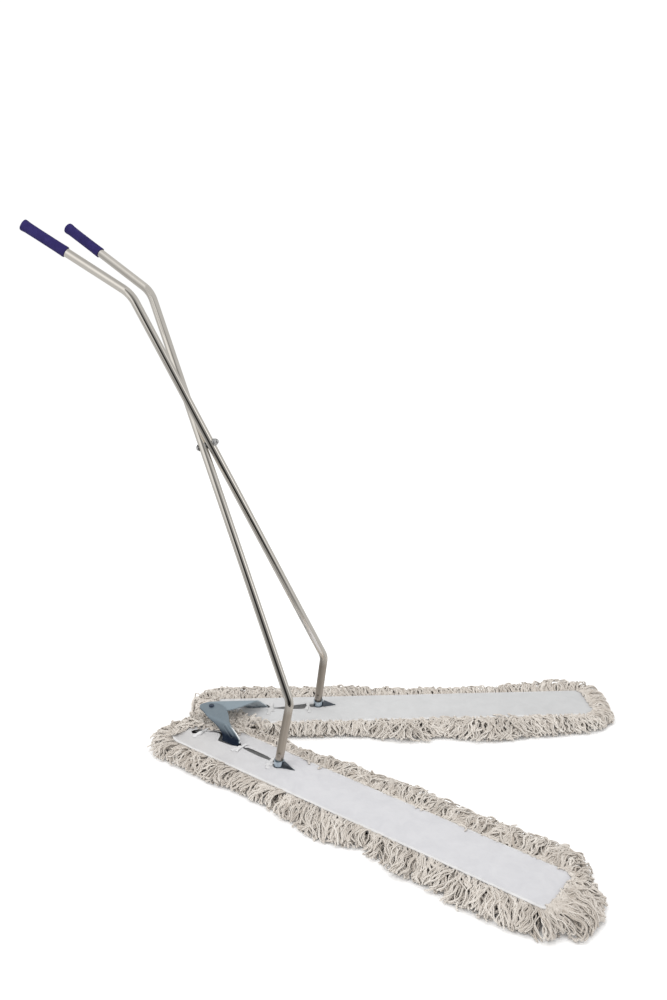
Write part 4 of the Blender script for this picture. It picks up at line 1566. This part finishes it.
def make_arm(label, side):
    """Pressed sheet: flat plate at the apex, soft fold, web with a stiffening rib, foot tab on the spine bar."""
    spec = ARMS[label]
    top = spec["top"]
    slope = math.atan2(top - BAR_TOP, FOOT - FOLD)
    fall = math.hypot(top - BAR_TOP, FOOT - FOLD)
    bend_r = 10.0
    tip = bend_r * math.tan(slope / 2)
    arc = bend_r * slope
    less = 2 * tip - arc
    web = lambda pts: [(s, q - less) for s, q in pts]
    plate = lambda pts: [(s, n - FOLD) for s, n in pts]
    line = np.array(plate(spec["before"]) + [(spec["corner"][0], -less / 2)] + web(spec["right"])
                    + web([(spec["foot"][0], fall + 1.5), (spec["foot"][1], fall + 1.5)]) + web(spec["left"])
                    + [(spec["corner"][1], -less / 2)] + plate(spec["after"]))
    for limit in (7.0, 3.5, 1.8):
        line = cut_corners(line, limit)
    line = resample(line, 1.3)
    pts, faces = fill_outline(line, [((0.0, -FOLD), 4.3)], 1.5)
    s, v = pts.T
    a = np.clip((v + tip) / bend_r, 0, slope)
    beyond = np.clip(v + tip - arc, 0, None)
    n = FOLD - tip + np.where(v < -tip, v + tip, 0.0) + bend_r * np.sin(a) + beyond * math.cos(slope)
    z = top - bend_r * (1 - np.cos(a)) - beyond * math.sin(slope)
    # pressed rib and a slight dish along the web
    (rs, rq), r_len, r_wide, r_turn = spec["rib"]
    d = np.array([math.cos(math.radians(r_turn)), math.sin(math.radians(r_turn))])
    rel = pts - np.array([rs, rq - less])
    t = rel @ d
    across_r = np.abs(rel @ np.array([-d[1], d[0]]))
    reach_r = (r_len - r_wide) / 2
    away = np.hypot(across_r, np.clip(np.abs(t) - reach_r, 0, None))
    rib = 2.2 * step01((r_wide / 2 - away) / 3.6)
    n, z = n + rib * np.sin(a), z + rib * np.cos(a)
    flank = np.exp(-((away - 4.4) / 1.1) ** 2) * step01((z - 41) / 8.0)
    if label == "right":
        shade = 0.5 - 0.16 * step01((70 - z) / 8.0) - 0.34 * step01((62 - z) / 16.0)
        shade = shade + 0.16 * flank - 0.10 * step01((2.6 - across_r) / 2.0) * step01((r_len / 2 - np.abs(t)) / 6.0)
        edge_chain = [(spec["corner"][0] - 6, -less / 2 - 6), (spec["corner"][0], -less / 2)] + web(spec["right"])
        rim = step01((3.7 - chain_distance(pts, edge_chain)) / 2.4) * step01((top - 4 - z) / 6.0) * step01((z - 37) / 6.0)
        shade = shade * (1 - rim) + 0.98 * rim
        # the sheet's free edge is turned down
        lip = step01((z - 38) / 6.0) * np.clip(1 - chain_distance(pts, edge_chain) / 3.4, 0, 1) ** 2
        n, z = n - 2.4 * lip * np.sin(a), z - 2.4 * lip * np.cos(a)
        low_chain = web(spec["left"]) + [(spec["corner"][1], -less / 2)] + plate(spec["after"])
        rim2 = step01((2.0 - chain_distance(pts, low_chain)) / 1.6)
        shade = shade * (1 - 0.55 * rim2)
    else:
        down = step01((v + tip) / 8.0)
        shade = 0.42 * (1 - down) + down * (0.36 + 0.24 * step01((s - 44) / 46.0))
        shade = shade + 0.08 * flank
    co = [place(s, n, z, side)]
    tris = [faces if side > 0 else faces[:, ::-1]]
    values = [np.clip(shade, 0, 1)]
    # foot tab, riveted to the bar
    tab = resample(rounded(((87.0, 43.1), (137.0, 43.1), (137.0, 56.7), (87.0, 56.7)), (2.0, 2.0, 2.0, 2.0), 1.6), 1.6)
    tp, tf = fill_outline(tab, [((99.0, 47.4), 2.6), ((125.0, 47.4), 2.6)], 2.6)
    co.append(place(tp[:, 0], tp[:, 1], BAR_TOP + ARM_T, side))
    tris.append((tf if side > 0 else tf[:, ::-1]) + len(pts))
    values.append(np.full(len(tp), 0.12))
    co, tris, values = np.concatenate(co), np.concatenate(tris), np.concatenate(values)
    mesh = bpy.data.meshes.new(label + "_pressed_arm")
    mesh.from_pydata([tuple(p) for p in co], [], [tuple(int(i) for i in f) for f in tris])
    mesh.polygons.foreach_set("use_smooth", np.full(len(mesh.polygons), True))
    layer = mesh.attributes.new("shade", "FLOAT", "POINT")
    layer.data.foreach_set("value", np.ascontiguousarray(values, np.float32))
    mesh.update(calc_edges=True)
    if mesh.polygons[0].normal.z < 0:
        mesh.flip_normals()
    obj = bpy.data.objects.new(label + "_pressed_arm", mesh)
    scene.collection.objects.link(obj)
    thick = obj.modifiers.new("thickness", "SOLIDIFY")
    thick.thickness, thick.offset = 0.003, -1.0
    soft = obj.modifiers.new("edges", "BEVEL")
    soft.width, soft.segments, soft.limit_method, soft.angle_limit = 0.0004, 2, "ANGLE", math.radians(50)
    soft.harden_normals = True
    return finish_piece(obj, mat_arm[label], label + "_frame", "zinc_sheet", label + "_hinge_arm")


def make_socket(label, side):
    """Tear-drop plate under the swivel shoe, with a nose that rises towards the shoe."""
    ds, dn = SLIP[side]
    turn = np.linspace(0, 2 * np.pi, 73)[:-1]
    rounds = np.concatenate([np.stack([x + r * np.cos(turn), y + r * np.sin(turn)], -1)
                             for x, y, r in ((-1.6, 3.1, 13.2), (12.0, 1.2, 8.6), (40.5, 0.0, 1.7))])
    order = rounds[np.lexsort((rounds[:, 1], rounds[:, 0]))]

    def half_hull(points):
        out = []
        for q in points:
            while len(out) > 1 and np.cross(out[-1] - out[-2], q - out[-2]) <= 0:
                out.pop()
            out.append(q)
        return out[:-1]

    line = resample(np.array(half_hull(order) + half_hull(order[::-1])), 1.1)
    pts, faces = fill_outline(line, [], 0.9)
    x, off = pts.T
    edge = chain_distance(pts, line, True)
    ramp_up = np.clip((41.5 - x) / 29.5, 0, 1)
    wide = np.clip((43.0 - x) * 0.285, 2.0, 10.0)
    z = 37.5 + 13.0 * ramp_up * np.clip(1 - ((off - 1.2 * ramp_up) / wide) ** 2, 0, 1) ** 0.8 * step01(edge / 3.2)
    # the nose clears the shoe's cup
    near_cup = np.hypot(x + 1.6, off - 3.1)
    z = np.where(near_cup < 14.2, 37.5, z)
    co = place(SOCKET_S + ds + x, MID + off + dn, z, side)
    mesh = bpy.data.meshes.new(label + "_socket_nose")
    mesh.from_pydata([tuple(p) for p in co], [], [tuple(int(i) for i in f) for f in faces])
    mesh.polygons.foreach_set("use_smooth", np.full(len(mesh.polygons), True))
    mesh.update(calc_edges=True)
    if mesh.polygons[0].normal.z < 0:
        mesh.flip_normals()
    obj = bpy.data.objects.new(label + "_socket_nose", mesh)
    scene.collection.objects.link(obj)
    thick = obj.modifiers.new("thickness", "SOLIDIFY")
    thick.thickness, thick.offset = 0.003, -1.0
    soft = obj.modifiers.new("edges", "BEVEL")
    soft.width, soft.segments, soft.limit_method, soft.angle_limit = 0.0005, 2, "ANGLE", math.radians(50)
    return finish_piece(obj, mat_plate, label + "_frame", "zinc_bar", label + "_socket_plate")


for label, side in SIDES.items():
    cover = make_cover(label, side)
    ties = make_ties(label, side)
    stitches = make_stitches(label, side)
    hem = make_hem(label, side)
    fringe = make_fringe(label, side)
    sole = make_underside(label, side)
    make_core(label, side)
    make_grip(label)
    make_tube(label)
    make_arm(label, side)
    make_socket(label, side)
